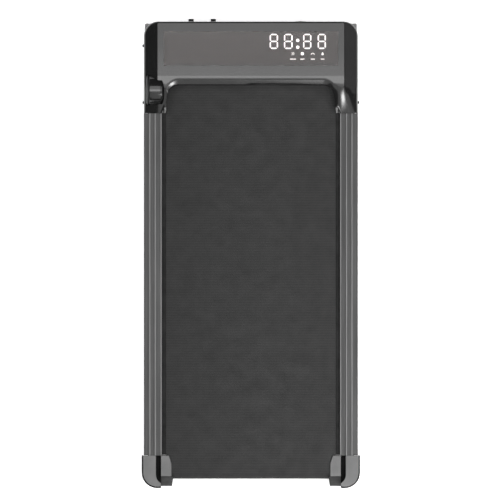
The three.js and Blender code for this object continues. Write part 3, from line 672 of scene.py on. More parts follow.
def hood_shell():
    rows = hood_rows()
    centre_count = 24
    vertices, faces, index = [], [], {}

    def vertex(key, x, y, z):
        index[key] = len(vertices)
        vertices.append((x, y, z))

    for r, y in enumerate(rows):
        columns = hood_columns(y)
        for side, sign in SIDES:
            for c, x in enumerate(columns):
                vertex((r, side, c), sign * x, y, hood_height(sign * x, y))
        if y >= LIP_Y - TINY:
            for i in range(1, centre_count):
                x = columns[0] * (2 * i / centre_count - 1)
                vertex((r, "centre", i), x, y, hood_height(x, y))
    width = len(hood_columns(rows[0]))
    for r in range(len(rows) - 1):
        for side, _ in SIDES:
            for c in range(width - 1):
                faces.append([index[r, side, c], index[r, side, c + 1],
                              index[r + 1, side, c + 1], index[r + 1, side, c]])
        if rows[r] >= LIP_Y - TINY:
            for i in range(centre_count):
                left = ("left", 0) if i == 0 else ("centre", i)
                right = ("right", 0) if i == centre_count - 1 else ("centre", i + 1)
                faces.append([index[r, *left], index[r, *right],
                              index[r + 1, *right], index[r + 1, *left]])
    lip_row = next(r for r, y in enumerate(rows) if y >= LIP_Y - TINY)
    edge = shell_edge(len(rows) - 1, lip_row, width, centre_count)
    hang_walls(vertices, faces, [index[k] for k in edge])
    shell = make_object("hood_shell", vertices, faces, 40.0)
    modifier = shell.modifiers.new("thickness", "SOLIDIFY")
    modifier.thickness = HOOD_WALL * MM
    modifier.offset = -1.0
    modifier.use_even_offset = False
    bake(shell)
    clean(shell, 40.0)
    return shell


def shell_edge(last, lip_row, width, centre_count):
    """Keys of the vertices round the shell's open edge, in order."""
    centre = [("centre", i) for i in range(1, centre_count)]
    front = [("left", c) for c in range(width - 1, -1, -1)] + centre
    front += [("right", c) for c in range(width)]
    edge = [(r, "left", width - 1) for r in range(last)] + [(last, *k) for k in front]
    edge += [(r, "right", width - 1) for r in range(last - 1, -1, -1)]
    edge += [(0, "right", c) for c in range(width - 2, -1, -1)]
    edge += [(r, "right", 0) for r in range(1, lip_row + 1)]
    edge += [(lip_row, *k) for k in reversed(centre)]
    edge += [(r, "left", 0) for r in range(lip_row, -1, -1)]
    return edge + [(0, "left", c) for c in range(1, width - 1)]


def hang_walls(vertices, faces, loop):
    """Walls down from the shell's edge, each stretch to its own bottom height."""
    levels = [72.8, 71.0, WHEEL_ARCH[2], HOOD_LOW.z]
    below = []
    for v in loop:
        x, y, top = vertices[v]
        below.append([v] + [len(vertices) + i for i in range(len(levels))])
        vertices.extend((x, y, min(z, top - 0.4 * (i + 1))) for i, z in enumerate(levels))
    for i in range(len(loop)):
        here, there = below[i], below[(i + 1) % len(loop)]
        x = (vertices[here[0]][0] + vertices[there[0]][0]) / 2
        y = (vertices[here[0]][1] + vertices[there[0]][1]) / 2
        out = rounded_box_distance(x, y, HOOD_HIGH.x, HOOD_HIGH.y, HOOD_CORNER)
        if y < HOOD_LOW.y + 0.5 and out < -0.01:
            bottom = levels[0]
        elif out < -0.6:
            bottom = levels[1]
        elif y > WHEEL_ARCH[1] and abs(x) > WHEEL_ARCH[0]:
            bottom = levels[2]
        else:
            bottom = levels[3]
        for row, z in enumerate(levels):
            if z < bottom - TINY:
                break
            faces.append([here[row], there[row], there[row + 1], here[row + 1]])


def under_hood(name, x0, x1, y0, y1, bottom, step=2.0):
    """Closed block that fills the room under the hood's outer surface."""
    xs = spread(x0, x1, step) + [x1]
    ys = spread(y0, y1, step) + [y1]
    vertices = [(x, y, hood_height(x, y) - 0.4) for y in ys for x in xs]
    vertices += [(x, y, bottom) for y in ys for x in xs]
    wide, layer = len(xs), len(xs) * len(ys)
    faces = []
    for j in range(len(ys) - 1):
        for i in range(wide - 1):
            a = j * wide + i
            faces.append((a, a + 1, a + wide + 1, a + wide))
            faces.append((layer + a, layer + a + wide, layer + a + wide + 1, layer + a + 1))
    rim = list(range(wide)) + [j * wide + wide - 1 for j in range(1, len(ys))]
    rim += [layer - 1 - i for i in range(1, wide)] + [j * wide for j in range(len(ys) - 2, 0, -1)]
    for a, b in zip(rim, rim[1:] + rim[:1]):
        faces.append((a, b, layer + b, layer + a))
    return make_object(name, vertices, faces, 60.0)


def domed(profile, end, radius, depth, inner):
    """Adds a dome that closes a turned profile at its inner end."""
    for step in range(13):
        angle = math.pi / 2 * step / 12
        profile.append((inner + (radius - inner) * math.cos(angle), end - depth + depth * math.sin(angle)))
    return profile


def build_hood():
    hood = hood_shell()
    lens_low, lens_high = box_mm("display_lens")
    recess = block("recess", (lens_low.x - FIT_GAP, lens_high.x + FIT_GAP),
                   (lens_low.y - FIT_GAP, lens_high.y + FIT_GAP), (lens_low.z - FIT_GAP, HOOD_HIGH.z + 5))
    window = block("window", (lens_low.x + LENS_LEDGE, lens_high.x - LENS_LEDGE),
                   (lens_low.y + LENS_LEDGE, lens_high.y - LENS_LEDGE), (lens_low.z - 12, HOOD_HIGH.z + 5))
    knob_low, knob_high, centre, knob_radius = round_node("control_roller", "x")
    radius = knob_radius + WELL_ROOM
    well_end = knob_high.x + 2.6
    well = turned("well", domed([(0, knob_low.x - 2.4), (radius + WELL_WALL, knob_low.x - 2.4)], well_end,
                                radius + WELL_WALL, BARREL_DOME, 0.0), "x", centre, 96)
    room = under_hood("room", HOOD_LOW.x + 0.8, knob_high.x + 6, HOOD_LOW.y + 2, LIP_Y + 40, 35.0)
    boolean(well, "INTERSECT", room)
    boolean(hood, "UNION", well)
    knob = turned("knob_cut", domed([(0, knob_low.x - 0.6), (radius, knob_low.x - 0.6)],
                                    knob_high.x + 0.8, radius, BARREL_DOME, 0.0), "x", centre, 96)
    inlet_low, inlet_high = box_mm("power_inlet")
    inlet = block("inlet_cut", (inlet_low.x - FIT_GAP, inlet_high.x + FIT_GAP),
                  (HOOD_HIGH.y - 20, HOOD_HIGH.y + 5), (inlet_low.z - FIT_GAP, inlet_high.z + FIT_GAP))
    boolean(hood, "DIFFERENCE", recess, window, knob, inlet)
    clean(hood, 40.0)
    flatten_shading(hood)
    finish_piece(hood, "gloss_black", "motor_hood")
    hood.data.materials.append(MATERIALS["display_mask"])
    for face in hood.data.polygons:
        x, y, z = face.center / MM
        if abs(z - lens_low.z) < 0.5 and abs(x) < lens_high.x + 1 and lens_low.y - 1 < y < lens_high.y + 1:
            face.material_index = 1


# ------------------------------------------------------------------ display
DIGIT_SPANS = ((44.4, 63.8), (78.0, 98.2), (123.1, 142.4), (157.5, 176.6))
DIGIT_HEIGHT = 35.4
STROKE = 2.9
COLON_X = 110.3
DIGIT_TOP = 5.6  # from the window's front edge
ICON_DROP, LABEL_DROP = 11.3, 24.0  # below the digits
MASK_INSET, MASK_DEPTH, MASK_GAP = 4.0, 2.6, 0.9  # black mask under the window
LIT_DEPTH, LIT_THICKNESS = 0.75, 0.38  # lit pieces between the mask and the window
ICON_PLACES = (99.2, 121.3, 145.8, 168.9)
LABEL_WIDTHS = (14.0, 10.0, 10.0, 8.0)


def digit_strokes(x0, x1, y0, y1):
    """The seven strokes of a digit, as outlines in (x, y)."""
    half = STROKE / 2
    gap = 1.4
    left, right = x0 + half, x1 - half
    bottom, middle, top = y0 + half, (y0 + y1) / 2, y1 - half

    def stroke(start, end, across):
        a, b = start + gap, end - gap
        return [(a, across), (a + half, across + half), (b - half, across + half), (b, across),
                (b - half, across - half), (a + half, across - half)]

    def level(y):
        return stroke(left, right, y)

    def upright(x, low, high):
        return [(x, y) for y, x in stroke(low, high, x)]

    return [level(bottom), level(middle), level(top), upright(left, bottom, middle),
            upright(left, middle, top), upright(right, bottom, middle), upright(right, middle, top)]


def plates(name, outlines, z0, z1):
    """One object of several thin flat plates."""
    vertices, faces = [], []
    for points in outlines:
        start, count = len(vertices), len(points)
        vertices += [(x, y, z0) for x, y in points] + [(x, y, z1) for x, y in points]
        faces.append(tuple(range(start, start + count)))
        faces.append(tuple(range(start + count, start + 2 * count)))
        for i in range(count):
            j = (i + 1) % count
            faces.append((start + i, start + j, start + count + j, start + count + i))
    return make_object(name, vertices, faces)


def build_display():
    low, high = box_mm("display_lens")
    lens = display_plate("lens_plate", low, high, 0.0, low.z, 0.0)
    finish_piece(lens, "smoked_lens", "display_lens")
    mask = display_plate("display_mask", low, high, MASK_INSET, low.z - MASK_DEPTH,
                         low.z - MASK_GAP - high.z)
    finish_piece(mask, "matte_black", look="display_mask")

    lit_low = low.z - LIT_DEPTH + 0.02
    y1 = high.y - DIGIT_TOP
    y0 = y1 - DIGIT_HEIGHT
    strokes = []
    for x0, x1 in DIGIT_SPANS:
        strokes += digit_strokes(x0, x1, y0, y1)
    strokes += [regular(COLON_X, y1 - 15.3, 3.85), regular(COLON_X, y1 - 31.4, 3.85)]
    label_y = y0 - LABEL_DROP
    labels = [rectangle(x - width / 2, x + width / 2, label_y - 0.8, label_y + 0.8, 0.6, 3)
              for x, width in zip(ICON_PLACES, LABEL_WIDTHS)]
    for name, outlines in (("display_digits", strokes), ("display_icons", icon_outlines(y0 - ICON_DROP)),
                           ("display_label_bars", labels)):
        piece = plates(name, outlines, lit_low, lit_low + LIT_THICKNESS)
        finish_piece(piece, "smoked_lens", look="lit_segment")


CHIPS = ((14, 9), (9, 7), (9, 7), (18, 10), (7, 5))  # widths and depths


def build_display_board():
    """Circuit board under the window with its segment module and a few chips."""
    low, high = box_mm("display_board")
    top = low.z + 1.6
    board = plate("display_circuit", rectangle(low.x, high.x, low.y, high.y, 2.0, 6), "z", (low.z, top))
    bevel(board, 0.2, 1)
    finish_piece(board, "circuit_board", "display_board")
    module = block("segment_module", (low.x + 10, high.x - 9), (low.y + 28, high.y - 2), (top, top + 5.5))
    bevel(module, 0.6, 2)
    finish_piece(module, "matte_black")
    for i, (width, depth) in enumerate(CHIPS):
        x = low.x + 20 + 28 * i
        y = low.y + 12
        chip = block("display_chip", (x - width / 2, x + width / 2), (y - depth / 2, y + depth / 2),
                     (top, top + 1.8))
        bevel(chip, 0.25, 1)
        finish_piece(chip, "matte_black")


def display_plate(name, low, high, inset, bottom, shift):
    """Plate with the hood's crown on top, cut back by inset and moved down by shift."""
    rear, front = low.y + inset, high.y - inset
    ys = [rear, rear + 0.3] + spread(rear + 4, front - 2, 4.0) + [front - 0.3, front]
    crown = [(y, hood_height(0.0, y) + shift) for y in reversed(ys)]
    return plate(name, [(rear, bottom), (front, bottom)] + crown, "x", (low.x + inset, high.x - inset))


def icon_outlines(y):
    """Four plain pictograms: pace chevrons, a clock disc, an arc for distance and a drop."""
    pace, clock, distance, drop_x = ICON_PLACES
    shapes = []
    for x in (pace - 2.6, pace + 1.4):
        shapes.append([(x - 1.4, y - 3.4), (x - 0.2, y - 3.4), (x + 2.4, y), (x - 0.2, y + 3.4),
                       (x - 1.4, y + 3.4), (x + 1.2, y)])
    shapes.append(regular(clock, y, 3.8))
    arc = [(distance + r * math.cos(a), y - 2.5 + r * math.sin(a))
           for r, turns in ((4.4, range(0, 13)), (3.3, range(12, -1, -1)))
           for a in (math.pi * t / 12 for t in turns)]
    shapes.append(arc)
    drop = [(drop_x + 2.8 * math.cos(a), y - 1.0 + 2.5 * math.sin(a))
            for a in (math.pi * (1.0 + t / 10) for t in range(11))]
    shapes.append(drop + [(drop_x, y + 4.2)])
    return shapes


# ------------------------------------------------------------------ running belt
def build_belt():
    """Endless belt swept round both rollers, with UVs in metres for its weave."""
    low, high = box_mm("running_belt")
    radius = (high.z - low.z) / 2
    thick = 1.6
    centre_z = (high.z + low.z) / 2
    rear, front = low.y + radius, high.y - radius
    turn_steps, run_steps = 28, 30
    path = []
    for start, end, side in ((rear, front, 1.0), (front, rear, -1.0)):
        path += [(start + (end - start) * i / run_steps, 0.0, side) for i in range(run_steps)]
        turns = [math.pi * i / turn_steps for i in range(turn_steps)]
        path += [(end, side * math.sin(turn), side * math.cos(turn)) for turn in turns]
    edge = 0.5
    section = [(low.x, -thick + edge), (low.x, -edge), (low.x + edge * 0.3, -edge * 0.3),
               (low.x + edge, 0.0), (0.0, 0.0), (high.x - edge, 0.0),
               (high.x - edge * 0.3, -edge * 0.3), (high.x, -edge),
               (high.x, -thick + edge), (high.x - edge, -thick), (low.x + edge, -thick)]
    vertices = [(x, y + ny * (radius + out), centre_z + nz * (radius + out))
                for y, ny, nz in path for x, out in section]
    faces = []
    count, total = len(section), len(path)
    for i in range(total):
        j = (i + 1) % total
        for k in range(count):
            n = (k + 1) % count
            faces.append((i * count + k, i * count + n, j * count + n, j * count + k))
    belt = make_object("belt_loop", vertices, faces)
    uv = belt.data.uv_layers.new(name="belt")
    for polygon in belt.data.polygons:
        sign = 1.0 if polygon.normal.z >= 0 else -1.0
        for corner in polygon.loop_indices:
            point = belt.data.vertices[belt.data.loops[corner].vertex_index].co
            flat = min(max(point.y, rear * MM), front * MM)
            turned_past = math.asin(min(abs(point.y - flat) / (radius * MM), 1.0)) * radius * MM
            uv.data[corner].uv = (point.x, sign * (flat + math.copysign(turned_past, point.y - flat)))
    finish_piece(belt, "belt_black", "running_belt")


# ------------------------------------------------------------------ side rails
RIDGES = (211.85, 225.7, 238.4)  # tread ridges, from the middle of the treadmill
RIDGE_HALF, RIDGE_RISE = 2.15, 1.5
RAIL_WALL = 2.0
RAIL_INNER_Z = 64.7  # bottom of the inner wall
FLANGE_X, FLANGE_Z = 233.0, 40.3  # the flange on the frame tube


def build_rails():
    for side, sign in SIDES:
        low, high = box_mm(f"{side}_side_rail")
        inner, outer = sorted((abs(low.x), abs(high.x)))
        top = high.z - RIDGE_RISE
        under = top - RAIL_WALL
        flange_top = FLANGE_Z + RAIL_WALL
        outer_wall = outer - RAIL_WALL
        corners = [(outer, low.z, 0.6), (outer, top, 2.6)]
        for place in reversed(RIDGES):
            corners += [(place + RIDGE_HALF, top, 0.4), (place + RIDGE_HALF - 0.5, high.z, 0.9),
                        (place - RIDGE_HALF + 0.5, high.z, 0.9)]
            if place - RIDGE_HALF > inner + 0.5:
                corners.append((place - RIDGE_HALF, top, 0.4))
        corners += [(inner, RAIL_INNER_Z, 0.4), (inner + RAIL_WALL, RAIL_INNER_Z, 0.4),
                    (inner + RAIL_WALL, under, 0.5), (outer_wall, under, 1.0), (outer_wall, flange_top, 0.6),
                    (FLANGE_X, flange_top, 0.5), (FLANGE_X, FLANGE_Z, 0.5), (outer_wall, FLANGE_Z, 0.6),
                    (outer_wall, low.z, 0.6)]
        points = outline([(x * sign, z, r) for x, z, r in corners], 4)
        rail = loft(f"{side}_rail_extrusion", "y", [(points, low.y), (points, high.y)], 30.0)
        finish_piece(rail, "rail_grey", f"{side}_side_rail")


# ------------------------------------------------------------------ rear end caps
CAP_CORNER = 36.0
CAP_EDGE = 4.4
CAP_WALL = 3.0
STEP_X = 224.0
GROOVE_Z = 60.0
TONGUE_IN, TONGUE_OUT, TONGUE_Z = 187.1, 212.3, 70.5
TONGUE_REAR = 4.4  # from the cap's rear edge
TONGUE_SLOPE_Y, TONGUE_SLOPE_END, TONGUE_LOW, TONGUE_WALL = -525.0, 35.0, 30.0, 2.7
UNDER_LOW = 50.0  # the room in the tongue starts here
CLEAR = 5.0  # how far a cutting tool passes a surface
# material indices of the painted shade on the caps' sides and on their slope
SHADE_SIDE, SHADE_SLOPE = 1, 2  # material indices


def cap_outline(low, high, sign, inset=0.0):
    half = max(abs(low.x), abs(high.x))
    corners = [
        (half - inset, high.y), (half - inset, low.y + inset, CAP_CORNER - inset),
        (212.0 + inset, low.y + inset, 6.0), (203.0 + inset, low.y + 8 + inset, 2.0),
        (190.0 + inset, low.y + 8 + inset, 3.0), (TONGUE_IN + inset, high.y - 19), (193.4 + inset, high.y),
    ]
    return outline([(x * sign, y, *r) for x, y, *r in corners], 10)


def cap_shell(side, sign, low, high):
    """Block with a rounded top edge and the pocket beside its raised outer part."""
    levels = [(cap_outline(low, high, sign), low.z)]
    for step in range(7):
        angle = math.pi / 2 * step / 6
        outline_here = cap_outline(low, high, sign, CAP_EDGE * (1 - math.cos(angle)))
        levels.append((outline_here, high.z - CAP_EDGE * (1 - math.sin(angle))))
    cap = loft(f"{side}_cap_shell", "z", levels)
    pocket = prism("pocket", [(sign * STEP_X, high.y + CLEAR), (sign * STEP_X, low.y + 8, 24.0),
                              (sign * 170.0, low.y + 8), (sign * 170.0, high.y + CLEAR)],
                   "z", (GROOVE_Z, high.z + CLEAR), 12)
    boolean(cap, "DIFFERENCE", pocket)
    return cap


def cap_tongue(sign, low, high):
    """Tongue beside the belt, its upper edges eased."""
    rear = low.y + TONGUE_REAR
    levels = []
    for ease, z in ((0.0, TONGUE_LOW), (0.0, TONGUE_Z - 1.0), (0.35, TONGUE_Z - 0.3), (1.0, TONGUE_Z)):
        corners = [(TONGUE_OUT - ease, high.y - ease), (TONGUE_OUT - ease, rear), (186.0 + ease, rear),
                   (183.0 + ease, low.y + 26), (TONGUE_IN + ease, low.y + 27),
                   (TONGUE_IN + ease, high.y - 19), (193.4 + ease * 0.8, high.y - ease)]
        levels.append(([(sign * x, y) for x, y in corners], z))
    return loft("tongue", "z", levels)


def cap_slope(sign, low, high):
    """What lies behind the tongue's slope, to be cut away."""
    rear = low.y + TONGUE_REAR
    corners = [(TONGUE_SLOPE_Y, TONGUE_Z), (rear, TONGUE_SLOPE_END), (rear, low.z - 1),
               (low.y - CLEAR, low.z - 1), (low.y - CLEAR, high.z + 1), (TONGUE_SLOPE_Y, high.z + 1)]
    return prism("slope", corners, "x", side_span(sign, 170.0, TONGUE_OUT))


def cap_rooms(side, sign, low, high):
    """Hollows of a cap: beside the step, below the groove, in the tongue and behind the tension bolt."""
    outer = max(abs(low.x), abs(high.x)) - CAP_WALL
    inner = STEP_X + CAP_WALL
    front = high.y + CLEAR
    chamber = prism("chamber", [(sign * outer, front), (sign * outer, low.y + CAP_WALL, 27.0),
                                (sign * inner, low.y + CAP_WALL), (sign * inner, front)],
                    "z", (0.0, high.z - CAP_WALL), 10)
    run = (TONGUE_SLOPE_Y - low.y - TONGUE_REAR) / (TONGUE_Z - TONGUE_SLOPE_END)
    inside = TONGUE_SLOPE_Y + TONGUE_WALL

    def slope_y(z):
        return inside - run * (TONGUE_Z - z)

    rear, top, rise = low.y + 11.5, GROOVE_Z - CAP_WALL, TONGUE_Z - CAP_WALL
    low_room = prism("low_room", [(front, 0.0), (front, top), (slope_y(top), top),
                                  (rear, TONGUE_Z - (inside - rear) / run), (rear, 0.0)],
                     "x", side_span(sign, 150.0, inner + 1))
    under = prism("under", [(front, UNDER_LOW), (front, rise), (slope_y(rise), rise),
                            (slope_y(UNDER_LOW), UNDER_LOW)],
                  "x", side_span(sign, 150.0, TONGUE_OUT - CAP_WALL))
    _, _, centre, _ = round_node(f"{side}_tension_bolt", "y")
    access = turned("access", [(0, low.y - 5), (5.0, low.y - 5), (5.0, low.y + 10), (0, low.y + 10)],
                    "y", centre, 32)
    return chamber, low_room, under, access


def paint_cap(cap):
    """Satin paint stays on the level faces; painted shade covers the rest: a near-black dull material on the
    sides, rounded edges and sunken groove floor, and a dark one on the slope facing the rear.
    """
    cap.data.materials.append(MATERIALS["painted_shade_black"])
    cap.data.materials.append(MATERIALS["slope_painted_shade"])
    for face in cap.data.polygons:
        centre, normal = face.center, face.normal
        least_tilt = 0.99 if centre.z > (TONGUE_Z + 1.0) * MM else 0.2
        # the slope facing the rear: painted shade
        if normal.y < -0.5 and 0.3 < normal.z < 0.7 and abs(centre.x) < TONGUE_OUT * MM:
            face.material_index = SHADE_SLOPE
        # sides, rounded edges and the sunken groove floor: painted shade
        elif centre.z < (TONGUE_Z - 5.0) * MM or normal.z < least_tilt:
            face.material_index = SHADE_SIDE


def build_end_caps():
    for side, sign in SIDES:
        low, high = box_mm(f"{side}_end_cap")
        cap = cap_shell(side, sign, low, high)
        boolean(cap, "UNION", cap_tongue(sign, low, high))
        boolean(cap, "DIFFERENCE", cap_slope(sign, low, high))
        boolean(cap, "DIFFERENCE", *cap_rooms(side, sign, low, high))
        bevel(cap, 0.7, 2)
        flatten_shading(cap)
        finish_piece(cap, "cap_grey", f"{side}_end_cap")
        paint_cap(cap)


# ------------------------------------------------------------------ controls
BARREL_RIM = 6.5  # matte stretch at the barrel's outer end
ROCKER_TILT = -6.0  # degrees, in the off position
SCREW_HEAD = 3.3


def build_control_roller():
    low, high, centre, r = round_node("control_roller", "x")
    a, b = low.x, high.x
    bore = 4.3
    profile = rounded_profile([
        (bore, a), (r - 6, a, 1.5), (r - 1, a + 1.6, 1.0), (r - 1, a + 4.6, 0.8), (r - 5.5, a + 5.4, 0.3),
        (r - 5.5, a + 7.2, 0.3), (r, a + 7.6, 0.9), (r, b - 10.4, 0.8), (r - 2.4, b - 9.6, 0.3),
    ])
    domed(profile, b, r - 3.0, BARREL_DOME, bore)
    roller = turned("control_barrel_body", profile, "x", centre, 128)
    finish_piece(roller, "gloss_black", "control_roller")
    roller.data.materials.append(MATERIALS["matte_black"])
    for face in roller.data.polygons:
        if face.center.x < (a + BARREL_RIM) * MM:
            face.material_index = 1


def build_buttons():
    for name in ("power_button", "reset_button"):
        low, high, centre, r = round_node(name, "y")
        tip = high.y
        profile = [(0, low.y), (3.0, low.y), (3.0, low.y + 5)] + rounded_profile([
            (r, low.y + 5), (r, tip, 1.1), (r - 1.9, tip, 0.5), (r - 2.3, tip - 0.8, 0.5), (0.0, tip - 0.5)])
        cap = turned(f"{name}_cap", profile, "y", centre, 48)
        finish_piece(cap, "matte_black", name, look="side_screw_black")
        collar_in = r + 0.3
        face = HOOD_HIGH.y
        collar = turned(f"{name}_collar", rounded_profile([
            (collar_in, face - 0.8), (collar_in + 2.2, face - 0.8), (collar_in + 2.2, face + 0.5, 0.4),
            (collar_in, face + 0.8, 0.3)]), "y", centre, 48)
        finish_piece(collar, "matte_black", look="side_screw_black")


def build_rocker():
    low, high, centre, r = round_node("rocker_switch_body", "y")
    bezel = turned("switch_bezel", rounded_profile([
        (r - 3.5, low.y), (r - 2, low.y), (r - 2, HOOD_HIGH.y + 0.1), (r, HOOD_HIGH.y + 0.1),
        (r, high.y, 0.5), (r - 3.5, high.y, 0.4)]), "y", centre, 64)
    finish_piece(bezel, "matte_black", "rocker_switch_body")
    build_rocker_paddle(centre)


def build_rocker_paddle(centre):
    """Round paddle, drawn about its own axis and then tilted to the off position."""
    pivot = Vector((centre[0], HOOD_HIGH.y - 4.0, centre[2]))
    profile = rounded_profile([(0.0, -5.0), (7.6, -5.0, 0.3), (8.2, 0.0, 0.5), (8.0, 3.4, 1.2),
                               (5.0, 5.0, 1.0), (0.0, 5.8)])
    paddle = turned("switch_paddle", profile, "y", (0.0, 0.0, 0.0), 48)
    paddle.data.transform(Matrix.Translation(pivot * MM) @ Matrix.Rotation(math.radians(ROCKER_TILT), 4, "X"))
    finish_piece(paddle, "matte_black", "rocker_paddle")


def build_power_inlet():
    """Mains inlet: rounded flange, deep recess and three blades."""
    low, high = box_mm("power_inlet")
    middle = (low + high) / 2

    def ring(inset, radius, far_radius=None):
        return rectangle(low.x + inset, high.x - inset, low.z + inset, high.z - inset,
                         radius, 5, far_radius)

    shell = loft("inlet_shell", "y", [
        (ring(3.0, 1.0), low.y), (ring(3.0, 1.0), high.y - 1.5), (ring(0.0, 2.5), high.y - 1.5),
        (ring(0.0, 2.5), high.y - 0.5), (ring(0.5, 2.0), high.y)])
    recess = plate("recess", ring(4.5, 1.0, 5.0), "y", (low.y + 2, high.y + 2))
    boolean(shell, "DIFFERENCE", recess)
    finish_piece(shell, "rubber_black", "power_inlet", look="matte_black")
    for dx, dz in ((-7, -2), (0, 2), (7, -2)):
        x, z = middle.x + dx, middle.z + dz
        blade = block("inlet_blade", (x - 1, x + 1), (low.y + 1, high.y - 7), (z - 2, z + 2))
        bevel(blade, 0.4, 2)
        finish_piece(blade, "rubber_black", look="plated_steel")


def cut_socket(piece, sign, centre, radius, depth, tip):
    """Six-sided key socket in the outer end of a screw along x."""
    hexagon = regular(centre[1], centre[2], radius, 6)
    boolean(piece, "DIFFERENCE", plate("socket", hexagon, "x", side_span(sign, tip - depth, tip + 2)))


def build_side_screws():
    for name in ("left_front_side_screw", "left_rear_side_screw", "right_rear_side_screw"):
        low, high, centre, r = round_node(name, "x")
        sign = -1 if low.x < 0 else 1
        root, tip = sorted((abs(low.x), abs(high.x)))
        face = tip - SCREW_HEAD
        profile = [(0, root), (2.0, root), (2.0, face)] + rounded_profile([
            (r, face, 0.2), (r, face + 1.6, 1.2), (r - 1.4, tip, 1.0), (0.0, tip)])
        screw = turned(f"{name}_head", facing(sign, profile), "x", centre, 40)
        cut_socket(screw, sign, centre, 1.5, 1.4, tip)
        finish_piece(screw, "side_screw_black", name)


# ------------------------------------------------------------------ wheels and feet
HOLE_RADIUS, HOLE_CIRCLE = 2.1, 12.2  # six holes through each wheel's web


def build_wheels():
    for side, sign in SIDES:
        node = f"{side}_transport_wheel"
        low, high, centre, r = round_node(node, "x")
        inner, outer = sorted((abs(low.x), abs(high.x)))
        rim = r - 6.0
        tyre = rounded_profile([
            (rim, inner + 0.6, 0.6), (r, inner, 3.0), (r, inner + 8.6, 0.4), (r - 0.7, inner + 9.4),
            (r - 0.7, inner + 10.6), (r, inner + 11.4, 0.4), (r, outer, 3.0), (rim, outer - 0.6, 0.6)])
        hub = rounded_profile([
            (4.3, inner + 1.0, 0.3), (8.5, inner + 1.0, 0.8), (8.5, inner + 6.5, 1.0),
            (rim - 3, inner + 6.5, 1.0), (rim - 3, inner + 1.4, 0.5),
            (rim - 0.05, inner + 1.4), (rim - 0.05, outer - 1.4),
            (rim - 3, outer - 1.4, 0.5), (rim - 3, outer - 6.5, 1.0), (9.0, outer - 6.5, 0.8),
            (9.0, outer - 4.1, 0.3), (4.3, outer - 4.1)])
        tyre_piece = turned(f"{side}_wheel_tyre", facing(sign, tyre), "x", centre, 72)
        finish_piece(tyre_piece, "wheel_grey", node)
        hub_piece = turned(f"{side}_wheel_hub", facing(sign, hub), "x", centre, 72)
        web = side_span(sign, inner + 4, outer - 4)
        holes = [plate("hole", regular(y, z, HOLE_RADIUS), "x", web)
                 for y, z in regular(centre[1], centre[2], HOLE_CIRCLE, 6)]
        boolean(hub_piece, "DIFFERENCE", *holes)
        finish_piece(hub_piece, "wheel_grey", body=BODY_OF[node])
        build_wheel_bolt(side, sign, centre)


def build_wheel_bolt(side, sign, centre):
    low, high = box_mm(f"{side}_wheel_axle")
    root, tip = sorted((abs(low.x), abs(high.x)))
    profile = [(0, root), (6.2, root), (6.9, root + 0.8), (6.9, root + 4.6), (4.0, root + 4.6)]
    profile += rounded_profile([(4.0, tip - 2.2), (7.4, tip - 2.2, 0.4), (7.4, tip - 1.0, 0.9),
                                (5.0, tip, 0.6), (0.0, tip)])
    bolt = turned(f"{side}_wheel_bolt", facing(sign, profile), "x", centre, 48)
    cut_socket(bolt, sign, centre, 2.9, 1.6, tip)
    finish_piece(bolt, "plated_steel", f"{side}_wheel_axle")


def build_feet():
    for side, _ in SIDES:
        for end in ("front", "rear"):
            node = f"{end}_{side}_foot"
            low, high, centre, r = round_node(node, "z")
            profile = [(0.0, low.z)] + rounded_profile([
                (r - 1.4, low.z, 0.6), (r, low.z + 1.4, 0.8), (r, low.z + 4.2, 0.4), (r - 1.1, low.z + 4.8),
                (r - 1.1, low.z + 5.6), (r, low.z + 6.2, 0.4), (r, low.z + 9.0, 0.8),
                (r - 4, low.z + 11.0, 1.0), (r - 4, high.z)]) + [(0.0, high.z)]
            foot = turned(f"{node}_pad", profile, "z", centre, 56)
            finish_piece(foot, "rubber_black", node)


# ------------------------------------------------------------------ rollers and belly pan
def build_rollers():
    for end in ("front", "rear"):
        node = f"{end}_roller_drum"
        _, high, centre, r = round_node(node, "x")
        half = high.x
        profile = rounded_profile([(r - 3, -half + 0.4), (r, -half, 1.2), (r, half, 1.2),
                                   (r - 3, half - 0.4)])
        drum = turned(f"{end}_drum_tube", profile, "x", centre, 72)
        finish_piece(drum, "plated_steel", node)


SLOT_WIDTH, SLOT_LENGTH, SLOT_PITCH, SLOT_COUNT = 3.2, 24.0, 30.0, 9  # cooling slots in the belly pan
SLOT_ROWS = (455.0, 495.0)


def build_belly_pan():
    low, high = box_mm("belly_pan")

    def rounded(inset):
        return rectangle(low.x + inset, high.x - inset, low.y + inset, high.y - inset, 6.0, 5)

    pan = loft("belly_pan_sheet", "z", [(rounded(0.6), low.z), (rounded(0.0), low.z + 0.6),
                                        (rounded(0.0), high.z)])
    slots = []
    for y in SLOT_ROWS:
        for i in range(SLOT_COUNT):
            x = SLOT_PITCH * (i - (SLOT_COUNT - 1) / 2)
            hole = rectangle(x - SLOT_WIDTH / 2, x + SLOT_WIDTH / 2,
                             y - SLOT_LENGTH / 2, y + SLOT_LENGTH / 2, 1.5, 4)
            slots.append(plate("slot", hole, "z", (low.z - 2, high.z + 2)))
    boolean(pan, "DIFFERENCE", *slots)
    finish_piece(pan, "matte_black", "belly_pan")


# ------------------------------------------------------------------ studio
CAMERA_LENS = 1219.0
CAMERA_HEIGHT = 40.0
CAMERA_AIM = (-0.0021, 0.0082)
HOOD_PLACE = Vector((0.0, 0.45, 0.1))  # where the lamps' angles are measured from
BOX_HEIGHT = 5.0


def overhead_box(name, side_angle, rear_angle, front_angle, radiance, height):
    """Lamp overhead that covers these angles from the vertical, seen from the hood."""
    rise = height - HOOD_PLACE.z
    half = rise * math.tan(math.radians(side_angle))
    rear = HOOD_PLACE.y + rise * math.tan(math.radians(rear_angle))
    front = HOOD_PLACE.y + rise * math.tan(math.radians(front_angle))
    middle = (rear + front) / 2
    softbox(name, (0.0, middle, height), (0.0, middle, 0.0), (2 * half, front - rear), radiance)


